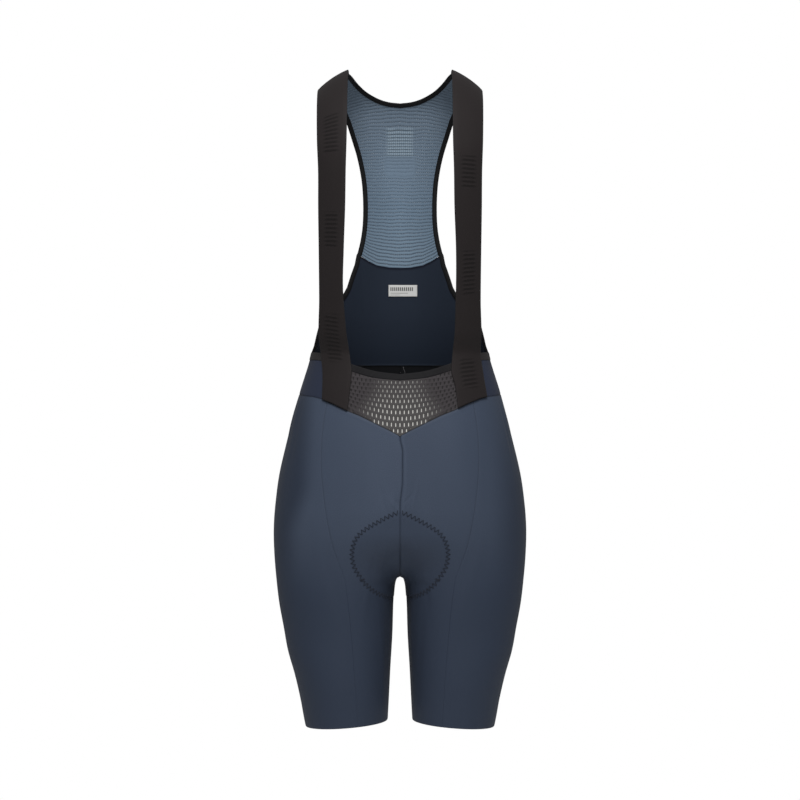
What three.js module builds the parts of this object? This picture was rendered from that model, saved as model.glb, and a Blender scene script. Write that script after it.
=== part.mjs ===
// Cycling bib shorts as worn: hollow cloth walls, the front faces -Y, +Z is up.
// Heights in the tables are measured from a level near the waist. The part's
// origin is on top of the shoulders, SHOULDER_HEIGHT above that level.
import * as THREE from "three";

// Driving sizes, in millimetres
const SHOULDER_HEIGHT = 433;
const FORK_HEIGHT = -237.6;
const CROTCH_RISE = 65;
const CROTCH_SPREAD = 220;
const CROTCH_FADE = { start: 60, end: 150 };
const SEAM_GAP = 0.3;
const PANEL_THICKNESS = 1.2;
const MESH_THICKNESS = 1.0;
const STRAP_THICKNESS = 1.5;
const BAND_RAISE = 0.5;
const BINDING_WIDTH = 5;
const BINDING_RAISE = 0.6;
const BINDING_THICKNESS = 2.3;
const BINDING_ROUND = 0.7;
const LABEL_WIDTH = 40;
const LABEL_HEIGHT = 16;
const LABEL_THICKNESS = 1.0;
const LABEL_CENTRE = { x: 4, height: 151 };
const PAD_CLEARANCE = { edge: 0.8, fork: 1.8 };
const PAD_EDGE = 1.6;
const PAD_MIDDLE = 8;
const BODY_ROUNDNESS = 2.3;
const LEG_ROUNDNESS = 2.1;
const FRONT_CHEST_HEIGHT = 335;
const SHOULDER_SEAM_BACK = 20;
const HALF_GAP_TURN = 0.0004;
const BINDING_TURNS = [0.506, 0.52];
const BINDING_MESH_ENDS = { bottom: 0.012, top: 0.997 };
const NECK_BINDING_END = 0.985;
const WAIST_HEIGHT = 61;
const FRONT_FOOT_HEIGHT = -60;
const STRAP_MIDDLE_X = 88;
const HALVINGS = 40;

// Sections of the hips and legs: half width, front-most and back-most y
const SECTIONS = [
  { height: -440, half: 127, front: -63, back: 58 },
  { height: -424, half: 130.2, front: -64.5, back: 60 },
  { height: -402, half: 134.2, front: -67, back: 63 },
  { height: -370, half: 141.7, front: -70.5, back: 68.5 },
  { height: -337, half: 151.2, front: -75, back: 76 },
  { height: -305, half: 157.2, front: -79, back: 84 },
  { height: -273, half: 163.2, front: -82, back: 91 },
  { height: -240, half: 167.2, front: -84, back: 98 },
  { height: -208, half: 170, front: -86.5, back: 108 },
  { height: -175, half: 171, front: -91, back: 117 },
  { height: -143, half: 169, front: -96, back: 122 },
  { height: -100, half: 163, front: -100, back: 122 },
  { height: -46, half: 150, front: -101, back: 112 },
  { height: 8, half: 136, front: -96, back: 97 },
  { height: 61, half: 120, front: -88, back: 83 },
  { height: 90, half: 116.8, front: -90, back: 79 },
  { height: 120, half: 118.4, front: -92, back: 79 },
  { height: 178, half: 129, front: -100, back: 86 },
  { height: 240, half: 137, front: -106, back: 96 },
  { height: 300, half: 144, front: -110, back: 103 },
  { height: 335, half: 147, front: -112, back: 104 },
];

// Path over the shoulder from the back to the chest, along the middle of the
// figure: lean turns the cloth's inward side from forward (0) to down (90) to back (180)
const SHOULDER = [
  { y: 99, height: 375, lean: 14, half: 148, depth: 112 },
  { y: 88, height: 408, lean: 32, half: 149, depth: 118 },
  { y: 66, height: 434, lean: 52, half: 150, depth: 127 },
  { y: 35, height: 451, lean: 71, half: 148, depth: 139 },
  { y: -5, height: 457, lean: 90, half: 146.5, depth: 146 },
  { y: -50, height: 447, lean: 110, half: 147, depth: 139 },
  { y: -88, height: 418, lean: 133, half: 148, depth: 128 },
  { y: -113, height: 380, lean: 157, half: 147, depth: 120 },
];
const CREST_ROW = 4;

// Chest line that the free straps follow, from the chest down to the front band
const CHEST = [
  { height: 335, y: -127, half: 147, depth: 116 },
  { height: 300, y: -131, half: 144, depth: 117 },
  { height: 240, y: -127, half: 142, depth: 112 },
  { height: 178, y: -118, half: 140, depth: 105 },
  { height: 120, y: -106, half: 136, depth: 98 },
  { height: 90, y: -97, half: 130, depth: 92 },
];

// Half the space between the legs, by the distance below the fork
const LEG_SPACE = [
  { below: 0, half: 0.15 },
  { below: 0.6, half: 2.4 },
  { below: 2.4, half: 4.6 },
  { below: 6, half: 6 },
  { below: 13.4, half: 7.4 },
  { below: 35, half: 9 },
  { below: 78, half: 10.3 },
  { below: 121, half: 12.8 },
  { below: 164, half: 14.9 },
  { below: 203, half: 17 },
];

// Seams round the body: turn is 0 at centre front, 0.5 at the side, 1 at centre back
const YOKE_SEAM = [
  { turn: 0, height: -46.4 },
  { turn: 0.04, height: -37.2 },
  { turn: 0.08, height: -28.2 },
  { turn: 0.12, height: -20 },
  { turn: 0.165, height: -12.5 },
  { turn: 0.21, height: -4.5 },
  { turn: 0.257, height: 1.7 },
  { turn: 0.3, height: 4.5 },
  { turn: 0.38, height: 6.3 },
  { turn: 0.44, height: 6.9 },
  { turn: 0.5, height: 8.1 },
  { turn: 0.55, height: 10.6 },
  { turn: 0.6, height: 14.6 },
  { turn: 0.65, height: 20 },
  { turn: 0.7, height: 26.5 },
  { turn: 0.75, height: 34 },
  { turn: 0.8, height: 41.3 },
  { turn: 0.84, height: 45.6 },
  { turn: 0.88, height: 47.8 },
  { turn: 0.93, height: 48.4 },
  { turn: 1, height: 48.4 },
];
const BAND_EDGES = [
  { turn: 0, low: 25.4, top: 33.9 },
  { turn: 0.08, low: 28.8, top: 37.8 },
  { turn: 0.16, low: 37.1, top: 46.5 },
  { turn: 0.24, low: 46.5, top: 56.2 },
  { turn: 0.315, low: 52.3, top: 62 },
  { turn: 0.4, low: 53.6, top: 63.6 },
  { turn: 0.5, low: 54, top: 64 },
];
const LOWER_BACK_TOP = [
  { turn: 0.5, height: 58.7 },
  { turn: 0.54, height: 61.8 },
  { turn: 0.58, height: 70 },
  { turn: 0.61, height: 84 },
  { turn: 0.643, height: 98.5 },
  { turn: 0.69, height: 111 },
  { turn: 0.734, height: 121.2 },
  { turn: 0.775, height: 132.5 },
  { turn: 0.8015, height: 142.8 },
  { turn: 0.821, height: 153 },
  { turn: 0.8334, height: 164 },
  { turn: 0.8456, height: 175 },
  { turn: 0.8577, height: 186 },
  { turn: 0.866, height: 199.35 },
];
const MESH_SEAM = [
  { turn: 0.866, height: 199.5 },
  { turn: 0.894, height: 192 },
  { turn: 0.9217, height: 186.5 },
  { turn: 0.963, height: 183.5 },
  { turn: 1, height: 183 },
];
// Front-side and outer back seams of the shorts: x seen from the front, by height
const LONG_SEAMS = [
  { height: -440, frontSide: 55, outerBack: 96 },
  { height: -330, frontSide: 62, outerBack: 113 },
  { height: -240, frontSide: 72, outerBack: 127 },
  { height: -216, frontSide: 80, outerBack: 130 },
  { height: -193, frontSide: 88, outerBack: 132 },
  { height: -151, frontSide: 96, outerBack: 132 },
  { height: -112, frontSide: 101, outerBack: 129 },
  { height: -72, frontSide: 103, outerBack: 124 },
  { height: -33, frontSide: 101, outerBack: 118 },
  { height: 20, frontSide: 93, outerBack: 110 },
];
const MESH_JOINT = { bottomTurn: 0.203, topTurn: 0.232 };

// Edges of the back mesh's cloth, seen from the front
const MESH_ARMHOLE = [
  { height: 199.5, x: 54.6 },
  { height: 219, x: 50 },
  { height: 242, x: 46.9 },
  { height: 271, x: 46.2 },
  { height: 299, x: 47.7 },
  { height: 321, x: 50.9 },
  { height: 342, x: 55.6 },
  { height: 364, x: 62.4 },
  { height: 386, x: 69.6 },
  { height: 404, x: 78 },
  { height: 418, x: 88 },
];
const MESH_NECK = [
  { x: 0, height: 407.2 },
  { x: 18, height: 409.3 },
  { x: 34, height: 414.2 },
  { x: 50, height: 422.4 },
  { x: 60, height: 430.0 },
  { x: 67, height: 436.5 },
];
const SHOULDER_SEAM = { neckX: 75, armX: 104.8 };
const NECK_SHARE = 0.64;

// Edges of the straps, by the way up from the waist and on over the shoulder
const STRAP_EDGES = [
  { rise: -20, rightIn: 69.5, rightOut: 102.3, leftIn: 76.5, leftOut: 117 },
  { rise: 0, rightIn: 66.8, rightOut: 101.8, leftIn: 74.5, leftOut: 114.6 },
  { rise: 20, rightIn: 64.6, rightOut: 101.1, leftIn: 71.6, leftOut: 111.3 },
  { rise: 37, rightIn: 63.3, rightOut: 101.2, leftIn: 67.2, leftOut: 108.6 },
  { rise: 63, rightIn: 66.2, rightOut: 103.8, leftIn: 68.9, leftOut: 105.5 },
  { rise: 92, rightIn: 70.6, rightOut: 106.7, leftIn: 71.8, leftOut: 106.7 },
  { rise: 143, rightIn: 75, rightOut: 106.6, leftIn: 73.6, leftOut: 106.4 },
  { rise: 195, rightIn: 73.9, rightOut: 106.8, leftIn: 73.5, leftOut: 106.7 },
  { rise: 252, rightIn: 71.8, rightOut: 107.3, leftIn: 71.3, leftOut: 107.3 },
  { rise: 299, rightIn: 71, rightOut: 107.3, leftIn: 70.6, leftOut: 107.6 },
  { rise: 341, rightIn: 69.9, rightOut: 109, leftIn: 69.4, leftOut: 109 },
  { rise: 420, rightIn: 69.5, rightOut: 110.2, leftIn: 69.5, leftOut: 110.3 },
  { rise: 540, rightIn: 70, rightOut: 110.6, leftIn: 70, leftOut: 110.6 },
];
const STRAP_LIFT = { sewn: 1.1, free: -1.5, sewnHeight: 75, freeHeight: 130 };

// Reach of the seat pad from the fork, seen from the front and from the back
const PAD_REACH = [
  { angle: 0, front: 91, back: 138 },
  { angle: 20, front: 83, back: 134 },
  { angle: 45, front: 80.5, back: 118 },
  { angle: 63, front: 71, back: 96 },
  { angle: 84, front: 54, back: 74 },
  { angle: 101, front: 38, back: 55 },
  { angle: 129, front: 29, back: 37 },
  { angle: 155, front: 26, back: 30 },
  { angle: 180, front: 28, back: 28 },
];
const PAD_RINGS = 6;
const PAD_QUARTER = 12;
const PAD_CROWDING = 1.3;

// Largest folds, raised on the outside: drag lines under the yoke and at the crotch
const FOLDS = [
  { turn: 0.4, height: -22, long: 26, wide: 0.016, raise: 1.4 },
  { turn: 0.44, height: -30, long: 30, wide: 0.014, raise: 1.2 },
  { turn: 0.47, height: -12, long: 18, wide: 0.014, raise: -0.9 },
  { turn: 0.03, height: -142, long: 16, wide: 0.02, raise: 1.2 },
  { turn: 0.93, height: -160, long: 34, wide: 0.02, raise: -1.6 },
];

// Smooth value of one column of a table whose rows are in order of their key
function smooth(table, key, at, name) {
  const rising = table[table.length - 1][key] > table[0][key];
  let low = 0;
  let high = table.length - 1;
  while (high - low > 1) {
    const middle = (low + high) >> 1;
    const before = rising ? table[middle][key] <= at : table[middle][key] >= at;
    if (before) low = middle;
    else high = middle;
  }
  const slopeAt = (row) => {
    const before = Math.max(row - 1, 0);
    const after = Math.min(row + 1, table.length - 1);
    const run = table[after][key] - table[before][key];
    return (table[after][name] - table[before][name]) / run;
  };
  const span = table[high][key] - table[low][key];
  const part = (at - table[low][key]) / span;
  if (part < 0) return table[low][name] + slopeAt(low) * (at - table[low][key]);
  if (part > 1) return table[high][name] + slopeAt(high) * (at - table[high][key]);
  const square = part * part;
  const cube = square * part;
  const start = (2 * cube - 3 * square + 1) * table[low][name];
  const startSlope = (cube - 2 * square + part) * span * slopeAt(low);
  const end = (3 * square - 2 * cube) * table[high][name];
  const endSlope = (cube - square) * span * slopeAt(high);
  return start + startSlope + end + endSlope;
}

// Straight value between two rows, for edges with corners
function straight(table, key, at, name) {
  let low = 0;
  while (low < table.length - 2 && table[low + 1][key] < at) low += 1;
  const before = table[low];
  const after = table[low + 1];
  const part = Math.min(Math.max((at - before[key]) / (after[key] - before[key]), 0), 1);
  return before[name] + part * (after[name] - before[name]);
}

const mix = (from, to, part) => from + (to - from) * part;
const mixPoints = (from, to, part) => from.map((value, axis) => mix(value, to[axis], part));
const steps = (count) => Array.from({ length: count + 1 }, (unused, index) => index / count);

// Vectors as plain lists
const minus = (a, b) => a.map((value, axis) => value - b[axis]);
const cross = (a, b) => [
  a[1] * b[2] - a[2] * b[1],
  a[2] * b[0] - a[0] * b[2],
  a[0] * b[1] - a[1] * b[0],
];
const unit = (a) => {
  const length = Math.hypot(...a);
  return a.map((value) => value / length);
};
const move = (point, direction, distance) =>
  point.map((value, axis) => value + direction[axis] * distance);

// Point of a rounded ring of unit size: across and along its two half axes
function ring(angle, roundness) {
  const across = Math.sin(angle);
  const along = Math.cos(angle);
  const sum = Math.abs(across) ** roundness + Math.abs(along) ** roundness;
  const reach = sum ** (-1 / roundness);
  return { across: across * reach, along: along * reach };
}

// Depth lost from the middle of the ring out to x, on a section of this half width
function curveBack(x, half, depth) {
  const out = Math.min(Math.abs(x) / half, 0.999) ** BODY_ROUNDNESS;
  return depth * (1 - (1 - out) ** (1 / BODY_ROUNDNESS));
}

function foldRaise(turn, height) {
  let raise = 0;
  for (const fold of FOLDS) {
    const along = (height - fold.height) / fold.long;
    const across = (turn - fold.turn) / fold.wide;
    raise += fold.raise * Math.exp(-along * along - across * across);
  }
  return raise;
}

// Outer face of the cloth round the body, at a height and a turn from centre front
function bodyPoint(height, turn) {
  const half = smooth(SECTIONS, "height", height, "half");
  const front = smooth(SECTIONS, "height", height, "front");
  const back = smooth(SECTIONS, "height", height, "back");
  const { across, along } = ring(Math.PI * turn, BODY_ROUNDNESS);
  return [half * across, (front + back) / 2 - ((back - front) / 2) * along, height];
}

function legSpace(height) {
  if (height >= FORK_HEIGHT) return LEG_SPACE[0].half;
  return smooth(LEG_SPACE, "below", FORK_HEIGHT - height, "half");
}

// Outer face of one leg: turn runs from the inseam round the front, outside and back
function legPoint(height, turn) {
  const half = smooth(SECTIONS, "height", height, "half");
  const front = smooth(SECTIONS, "height", height, "front");
  const back = smooth(SECTIONS, "height", height, "back");
  const inner = legSpace(height);
  const { across, along } = ring(2 * Math.PI * turn, LEG_ROUNDNESS);
  const x = (half + inner) / 2 - ((half - inner) / 2) * along;
  return [x, (front + back) / 2 - ((back - front) / 2) * across, height];
}

// How much of the body shows at a place on the shorts: none at the inseam, all of
// it above the crotch, spread smoothly round the fork
function bodyShare(height, turn) {
  const above = height - FORK_HEIGHT;
  const out = CROTCH_SPREAD * Math.min(Math.abs(turn), Math.abs(1 - turn));
  const rise = Math.min((Math.hypot(above, out) + above) / 2 / CROTCH_RISE, 1);
  const share = Math.sqrt(1 - (1 - rise) * (1 - rise));
  return share * THREE.MathUtils.smoothstep(above, -CROTCH_FADE.end, -CROTCH_FADE.start);
}

// The shorts' half on +X: a leg below the fork, growing into the body above it
function shortsPoint(height, turn) {
  const share = bodyShare(height, turn);
  const leg = share < 1 ? legPoint(height, turn) : bodyPoint(height, turn);
  const point = share > 0 ? mixPoints(leg, bodyPoint(height, turn), share) : leg;
  const raise = foldRaise(turn, height);
  const angle = mix(2, 1, share) * Math.PI * turn;
  point[0] += raise * Math.sin(Math.PI * turn);
  point[1] -= raise * (share > 0.5 ? Math.cos(Math.PI * turn) : Math.sin(angle));
  return point;
}

const HEIGHT_PROBE = 0.8;
const TURN_PROBE = 0.002;

function shortsOutward(height, turn) {
  const along = minus(
    shortsPoint(height, turn + TURN_PROBE),
    shortsPoint(height, turn - TURN_PROBE),
  );
  const rise = minus(
    shortsPoint(height + HEIGHT_PROBE, turn),
    shortsPoint(height - HEIGHT_PROBE, turn),
  );
  return unit(cross(along, rise));
}

// Rows of the path up the back, over the shoulder and down the chest
function shoulderPath() {
  const rows = [];
  const halfDepth = (row) => (row.back - row.front) / 2;
  for (const row of SECTIONS.filter((section) => section.height >= WAIST_HEIGHT)) {
    const { height, half, back } = row;
    rows.push({ way: height, y: back, height, lean: 0, half, depth: halfDepth(row) });
  }
  const place = (row) => {
    const lost = curveBack(STRAP_MIDDLE_X, row.half, row.depth);
    const lean = THREE.MathUtils.degToRad(row.lean);
    return [row.y - Math.cos(lean) * lost, row.height - Math.sin(lean) * lost];
  };
  const chest = CHEST.map((row) => ({ ...row, lean: 180 }));
  const onFront = ({ height }) => height <= WAIST_HEIGHT && height > FRONT_FOOT_HEIGHT;
  for (const row of SECTIONS.filter(onFront).reverse()) {
    const { height, half, front } = row;
    chest.push({ height, y: front, half, depth: halfDepth(row), lean: 180 });
  }
  for (const row of [...SHOULDER, ...chest]) {
    const last = rows[rows.length - 1];
    const [lastY, lastHeight] = place(last);
    const [y, height] = place(row);
    const step = row.lean === 180 && last.lean === 180
      ? last.height - row.height
      : Math.hypot(y - lastY, height - lastHeight);
    rows.push({ ...row, way: last.way + step });
  }
  return rows;
}
const PATH = shoulderPath();
const CREST_WAY = PATH.find((row) => row.lean === SHOULDER[CREST_ROW].lean).way;
const CHEST_WAY = PATH.find((row) => row.lean === 180).way;
const SEAM_WAY = CREST_WAY - SHOULDER_SEAM_BACK;

// Outer face of the front below the waist, by x
function frontPoint(x, height) {
  const half = smooth(SECTIONS, "height", height, "half");
  const front = smooth(SECTIONS, "height", height, "front");
  const back = smooth(SECTIONS, "height", height, "back");
  return [x, front + curveBack(x, half, (back - front) / 2), height];
}

// Outer face of the cloth over the back, shoulders and chest
function torsoPoint(x, way) {
  const frontHeight = FRONT_CHEST_HEIGHT + CHEST_WAY - way;
  if (frontHeight < WAIST_HEIGHT) return frontPoint(x, frontHeight);
  const half = smooth(PATH, "way", way, "half");
  const depth = smooth(PATH, "way", way, "depth");
  const lean = THREE.MathUtils.degToRad(smooth(PATH, "way", way, "lean"));
  const lost = curveBack(x, half, depth);
  const y = smooth(PATH, "way", way, "y") - Math.cos(lean) * lost;
  return [x, y, smooth(PATH, "way", way, "height") - Math.sin(lean) * lost];
}

// Way up the back where the cloth at x reaches a height
function backWay(x, height) {
  let low = WAIST_HEIGHT;
  let high = CREST_WAY;
  for (let round = 0; round < HALVINGS; round += 1) {
    const middle = (low + high) / 2;
    if (torsoPoint(x, middle)[2] < height) low = middle;
    else high = middle;
  }
  return (low + high) / 2;
}

const PROBE = 0.004;

// Outward direction of a sheet whose columns run across and rows run up
function outwardOf(pointAt, across, up) {
  const probe = (value) => [Math.max(value - PROBE, 0), Math.min(value + PROBE, 1)];
  const [acrossFrom, acrossTo] = probe(across);
  const [upFrom, upTo] = probe(up);
  const along = minus(pointAt(acrossTo, up), pointAt(acrossFrom, up));
  const rise = minus(pointAt(across, upTo), pointAt(across, upFrom));
  return unit(cross(along, rise));
}

// Closed mesh from points, faces and an optional mirror to the -X side
function closedMesh(points, faces, mirrored) {
  const positions = points.flatMap(([x, y, height]) => [
    mirrored ? -x : x,
    y,
    height - SHOULDER_HEIGHT,
  ]);
  const order = mirrored ? faces.map(([a, b, c]) => [a, c, b]) : faces;
  const geometry = new THREE.BufferGeometry();
  geometry.setAttribute("position", new THREE.Float32BufferAttribute(positions, 3));
  geometry.setIndex(order.flat());
  geometry.computeVertexNormals();
  return geometry;
}

// Cloth wall between an outer and an inner grid, closed round its edges
function gridWall(outer, inner, mirrored) {
  const rows = outer.length;
  const columns = outer[0].length;
  const points = [...outer.flat(), ...inner.flat()];
  const outerAt = (row, column) => row * columns + column;
  const innerAt = (row, column) => rows * columns + outerAt(row, column);
  const faces = [];
  for (let row = 0; row < rows - 1; row += 1) {
    for (let column = 0; column < columns - 1; column += 1) {
      const corners = [[row, column], [row, column + 1], [row + 1, column + 1], [row + 1, column]];
      const [a, b, c, d] = corners.map(([r, k]) => outerAt(r, k));
      const [e, f, g, h] = corners.map(([r, k]) => innerAt(r, k));
      faces.push([a, b, c], [a, c, d], [e, g, f], [e, h, g]);
    }
  }
  const rim = [];
  for (let column = 0; column < columns - 1; column += 1) rim.push([0, column]);
  for (let row = 0; row < rows - 1; row += 1) rim.push([row, columns - 1]);
  for (let column = columns - 1; column > 0; column -= 1) rim.push([rows - 1, column]);
  for (let row = rows - 1; row > 0; row -= 1) rim.push([row, 0]);
  rim.forEach((from, index) => {
    const to = rim[(index + 1) % rim.length];
    const [a, b] = [outerAt(...from), outerAt(...to)];
    const [e, f] = [innerAt(...from), innerAt(...to)];
    faces.push([b, a, e], [b, e, f]);
  });
  return closedMesh(points, faces, mirrored);
}

// Wall of a sheet given by a function, raised and thick as the functions say
function sheetWall({ pointAt, outwardAt, acrossSteps, upSteps, raise, thickness, mirrored }) {
  const raiseAt = typeof raise === "function" ? raise : () => raise;
  const outward = outwardAt || ((across, up) => outwardOf(pointAt, across, up));
  const face = (depth) => upSteps.map((up) => acrossSteps.map((across) => {
    const distance = raiseAt(across, up) - depth;
    return move(pointAt(across, up), outward(across, up), distance);
  }));
  return gridWall(face(0), face(thickness), mirrored);
}

const HALF_GAP = SEAM_GAP / 2;
const nearTurn = (turn) => (turn > 1 ? 2 - turn : Math.abs(turn));
const yokeHeight = (turn) => straight(YOKE_SEAM, "turn", nearTurn(turn), "height");
const bandLow = (turn) => smooth(BAND_EDGES, "turn", Math.abs(turn), "low");
const bandTop = (turn) => smooth(BAND_EDGES, "turn", Math.abs(turn), "top");

// Leg hem, a little higher at the inseam than outside
const HEM = { middle: -434.3, tilt: 4.3 };
const hemHeight = (turn) => HEM.middle + HEM.tilt * Math.cos(2 * Math.PI * turn);

// Rows of the shorts: up to 0.5 the leg, above it the seat up to the yoke seam
const LEG_ROWS = [0, 0.14, 0.3, 0.46, 0.6, 0.72, 0.82, 0.9, 0.96, 0.988, 1];
const SEAT_ROWS = [0.012, 0.04, 0.08, 0.13, 0.19, 0.26, 0.34, 0.44, 0.55, 0.66, 0.77, 0.88, 1];
const SHORTS_ROWS = [
  ...LEG_ROWS.map((row) => row / 2),
  ...SEAT_ROWS.map((row) => 0.5 + row / 2),
];

function shortsHeight(turn, up) {
  if (up <= 0.5) return mix(hemHeight(turn), FORK_HEIGHT, up * 2);
  return mix(FORK_HEIGHT, yokeHeight(turn) - HALF_GAP, up * 2 - 1);
}

// Turn where the shorts' half reaches x at a height, on the front or the back
function turnAtX(height, x, onFront) {
  let low = onFront ? 0 : 1;
  let high = 0.5;
  for (let round = 0; round < HALVINGS; round += 1) {
    const middle = (low + high) / 2;
    if (shortsPoint(height, middle)[0] < x) low = middle;
    else high = middle;
  }
  return (low + high) / 2;
}

const SEAM_LEVEL_TURN = 0.3;

// Columns of the panels: some stand where the yoke seam turns
const FRONT_COLUMNS = steps(10);
const SIDE_COLUMNS = [0, 0.08, 0.16, 0.24, 0.32, 0.4, 0.48, 0.555, 0.63, 0.72, 0.81, 0.9, 1];
const BACK_COLUMNS = [0, 0.126, 0.21, 0.3, 0.44, 0.58, 0.67, 0.755, 0.84, 0.92, 1];

function shortsPanel(fromSeam, toSeam, columns, mirrored) {
  const turns = new Map();
  const seamTurn = (seam, up) => {
    if (typeof seam === "number") return seam;
    const key = `${seam} ${up}`;
    if (!turns.has(key)) {
      const height = shortsHeight(SEAM_LEVEL_TURN, up);
      const x = smooth(LONG_SEAMS, "height", height, seam);
      turns.set(key, turnAtX(height, x, seam === "frontSide"));
    }
    return turns.get(key);
  };
  const place = (across, up) => {
    const from = seamTurn(fromSeam, up) + HALF_GAP_TURN;
    const to = seamTurn(toSeam, up) - HALF_GAP_TURN;
    const turn = mix(from, to, across);
    return [shortsHeight(turn, up), turn];
  };
  return sheetWall({
    pointAt: (across, up) => shortsPoint(...place(across, up)),
    outwardAt: (across, up) => shortsOutward(...place(across, up)),
    acrossSteps: columns,
    upSteps: SHORTS_ROWS,
    raise: 0,
    thickness: PANEL_THICKNESS,
    mirrored,
  });
}

// Strip between two edges round the body
function bodyStrip({ fromTurn, toTurn, low, high, columns, rows, raise, thickness, mirrored }) {
  const turnAt = (edge, up) => (typeof edge === "function" ? edge(up) : edge);
  const pointAt = (across, up) => {
    const turn = mix(turnAt(fromTurn, up), turnAt(toTurn, up), across);
    return bodyPoint(mix(low(turn), high(turn), up), turn);
  };
  return sheetWall({
    pointAt,
    acrossSteps: Array.isArray(columns) ? columns : steps(columns),
    upSteps: steps(rows),
    raise,
    thickness,
    mirrored,
  });
}

const jointTurn = (up) => mix(MESH_JOINT.bottomTurn, MESH_JOINT.topTurn, up);

function hipYoke(mirrored) {
  return bodyStrip({
    fromTurn: (up) => jointTurn(up) + HALF_GAP_TURN,
    toTurn: 0.5 - HALF_GAP_TURN,
    low: (turn) => yokeHeight(turn) + HALF_GAP,
    high: (turn) => bandLow(turn) - HALF_GAP,
    columns: 12,
    rows: 3,
    raise: 0,
    thickness: PANEL_THICKNESS,
    mirrored,
  });
}

function frontMesh() {
  return bodyStrip({
    fromTurn: (up) => -jointTurn(up) + HALF_GAP_TURN,
    toTurn: (up) => jointTurn(up) - HALF_GAP_TURN,
    low: (turn) => yokeHeight(turn) + HALF_GAP,
    high: (turn) => bandLow(turn) - HALF_GAP,
    columns: 16,
    rows: 4,
    raise: 0,
    thickness: MESH_THICKNESS,
  });
}

function frontBand() {
  return bodyStrip({
    fromTurn: -0.5 + HALF_GAP_TURN,
    toTurn: 0.5 - HALF_GAP_TURN,
    low: (turn) => bandLow(turn) + HALF_GAP,
    high: bandTop,
    columns: 36,
    rows: 1,
    raise: BAND_RAISE,
    thickness: PANEL_THICKNESS + BAND_RAISE,
  });
}

const LOWER_BACK_CORNER = MESH_SEAM[0].turn;
function lowerBackTop(turn) {
  const near = nearTurn(turn);
  if (near > LOWER_BACK_CORNER) return straight(MESH_SEAM, "turn", near, "height") - HALF_GAP;
  return straight(LOWER_BACK_TOP, "turn", near, "height");
}

function lowerBack() {
  const turns = [0.5 + HALF_GAP_TURN];
  for (const row of [...LOWER_BACK_TOP.slice(1), ...MESH_SEAM.slice(1)]) turns.push(row.turn);
  const mirror = turns.slice(0, -1).reverse().map((turn) => 2 - turn);
  const span = 1 - 2 * HALF_GAP_TURN;
  const columns = [...turns, ...mirror].map((turn) => (turn - turns[0]) / span);
  return bodyStrip({
    fromTurn: 0.5 + HALF_GAP_TURN,
    toTurn: 1.5 - HALF_GAP_TURN,
    low: (turn) => yokeHeight(turn) + HALF_GAP,
    high: lowerBackTop,
    columns,
    rows: 5,
    raise: 0,
    thickness: PANEL_THICKNESS,
  });
}

// Back mesh: a patch between its seam, its armhole edges and its neck and shoulders
const MESH_START_WAY = backWay(MESH_ARMHOLE[0].x, MESH_ARMHOLE[0].height + HALF_GAP);
const ARMHOLE_BY_WAY = MESH_ARMHOLE.map((row) => ({ way: backWay(row.x, row.height), x: row.x }));
ARMHOLE_BY_WAY.push({ way: SEAM_WAY, x: SHOULDER_SEAM.armX });
const NECK_BY_SHARE = MESH_NECK.map((row) => ({
  share: row.x / SHOULDER_SEAM.neckX,
  x: row.x,
  way: backWay(row.x, row.height),
}));
NECK_BY_SHARE.push({ share: 1, x: SHOULDER_SEAM.neckX, way: SEAM_WAY });

function meshTop(side) {
  const out = Math.abs(side);
  const sign = Math.sign(side);
  if (out <= NECK_SHARE) {
    const share = out / NECK_SHARE;
    const x = smooth(NECK_BY_SHARE, "share", share, "x");
    return { x: sign * x, way: smooth(NECK_BY_SHARE, "share", share, "way") };
  }
  const part = (out - NECK_SHARE) / (1 - NECK_SHARE);
  return { x: sign * mix(SHOULDER_SEAM.neckX, SHOULDER_SEAM.armX, part), way: SEAM_WAY };
}

function meshBottomWay(x) {
  const section = smooth(SECTIONS, "height", MESH_SEAM[3].height, "half");
  const across = Math.min(Math.abs(x) / section, 1);
  const along = (1 - across ** BODY_ROUNDNESS) ** (1 / BODY_ROUNDNESS);
  const turn = 1 - Math.atan2(across, along) / Math.PI;
  return straight(MESH_SEAM, "turn", Math.max(turn, LOWER_BACK_CORNER), "height") + HALF_GAP;
}

function backMeshPoint(across, up) {
  const side = 1 - 2 * across;
  const top = meshTop(side);
  const bottomX = side * MESH_ARMHOLE[0].x;
  const edgeX = smooth(ARMHOLE_BY_WAY, "way", mix(MESH_START_WAY, SEAM_WAY, up), "x");
  const spread = edgeX - (1 - up) * MESH_ARMHOLE[0].x - up * SHOULDER_SEAM.armX;
  const x = (1 - up) * bottomX + up * top.x + side * spread;
  return torsoPoint(x, mix(meshBottomWay(bottomX), top.way, up));
}

const MESH_HALF_COLUMNS = [0, 0.08, 0.16, 0.24, 0.32, 0.4, 0.48, 0.56, NECK_SHARE, 0.76, 0.88, 1];
const MESH_ROWS = 18;
const MESH_COLUMNS = [
  ...MESH_HALF_COLUMNS.slice(1).reverse().map((side) => (1 - side) / 2),
  ...MESH_HALF_COLUMNS.map((side) => (1 + side) / 2),
];

function backMesh() {
  return sheetWall({
    pointAt: backMeshPoint,
    acrossSteps: MESH_COLUMNS,
    upSteps: steps(MESH_ROWS),
    raise: 0,
    thickness: MESH_THICKNESS,
  });
}

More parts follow.
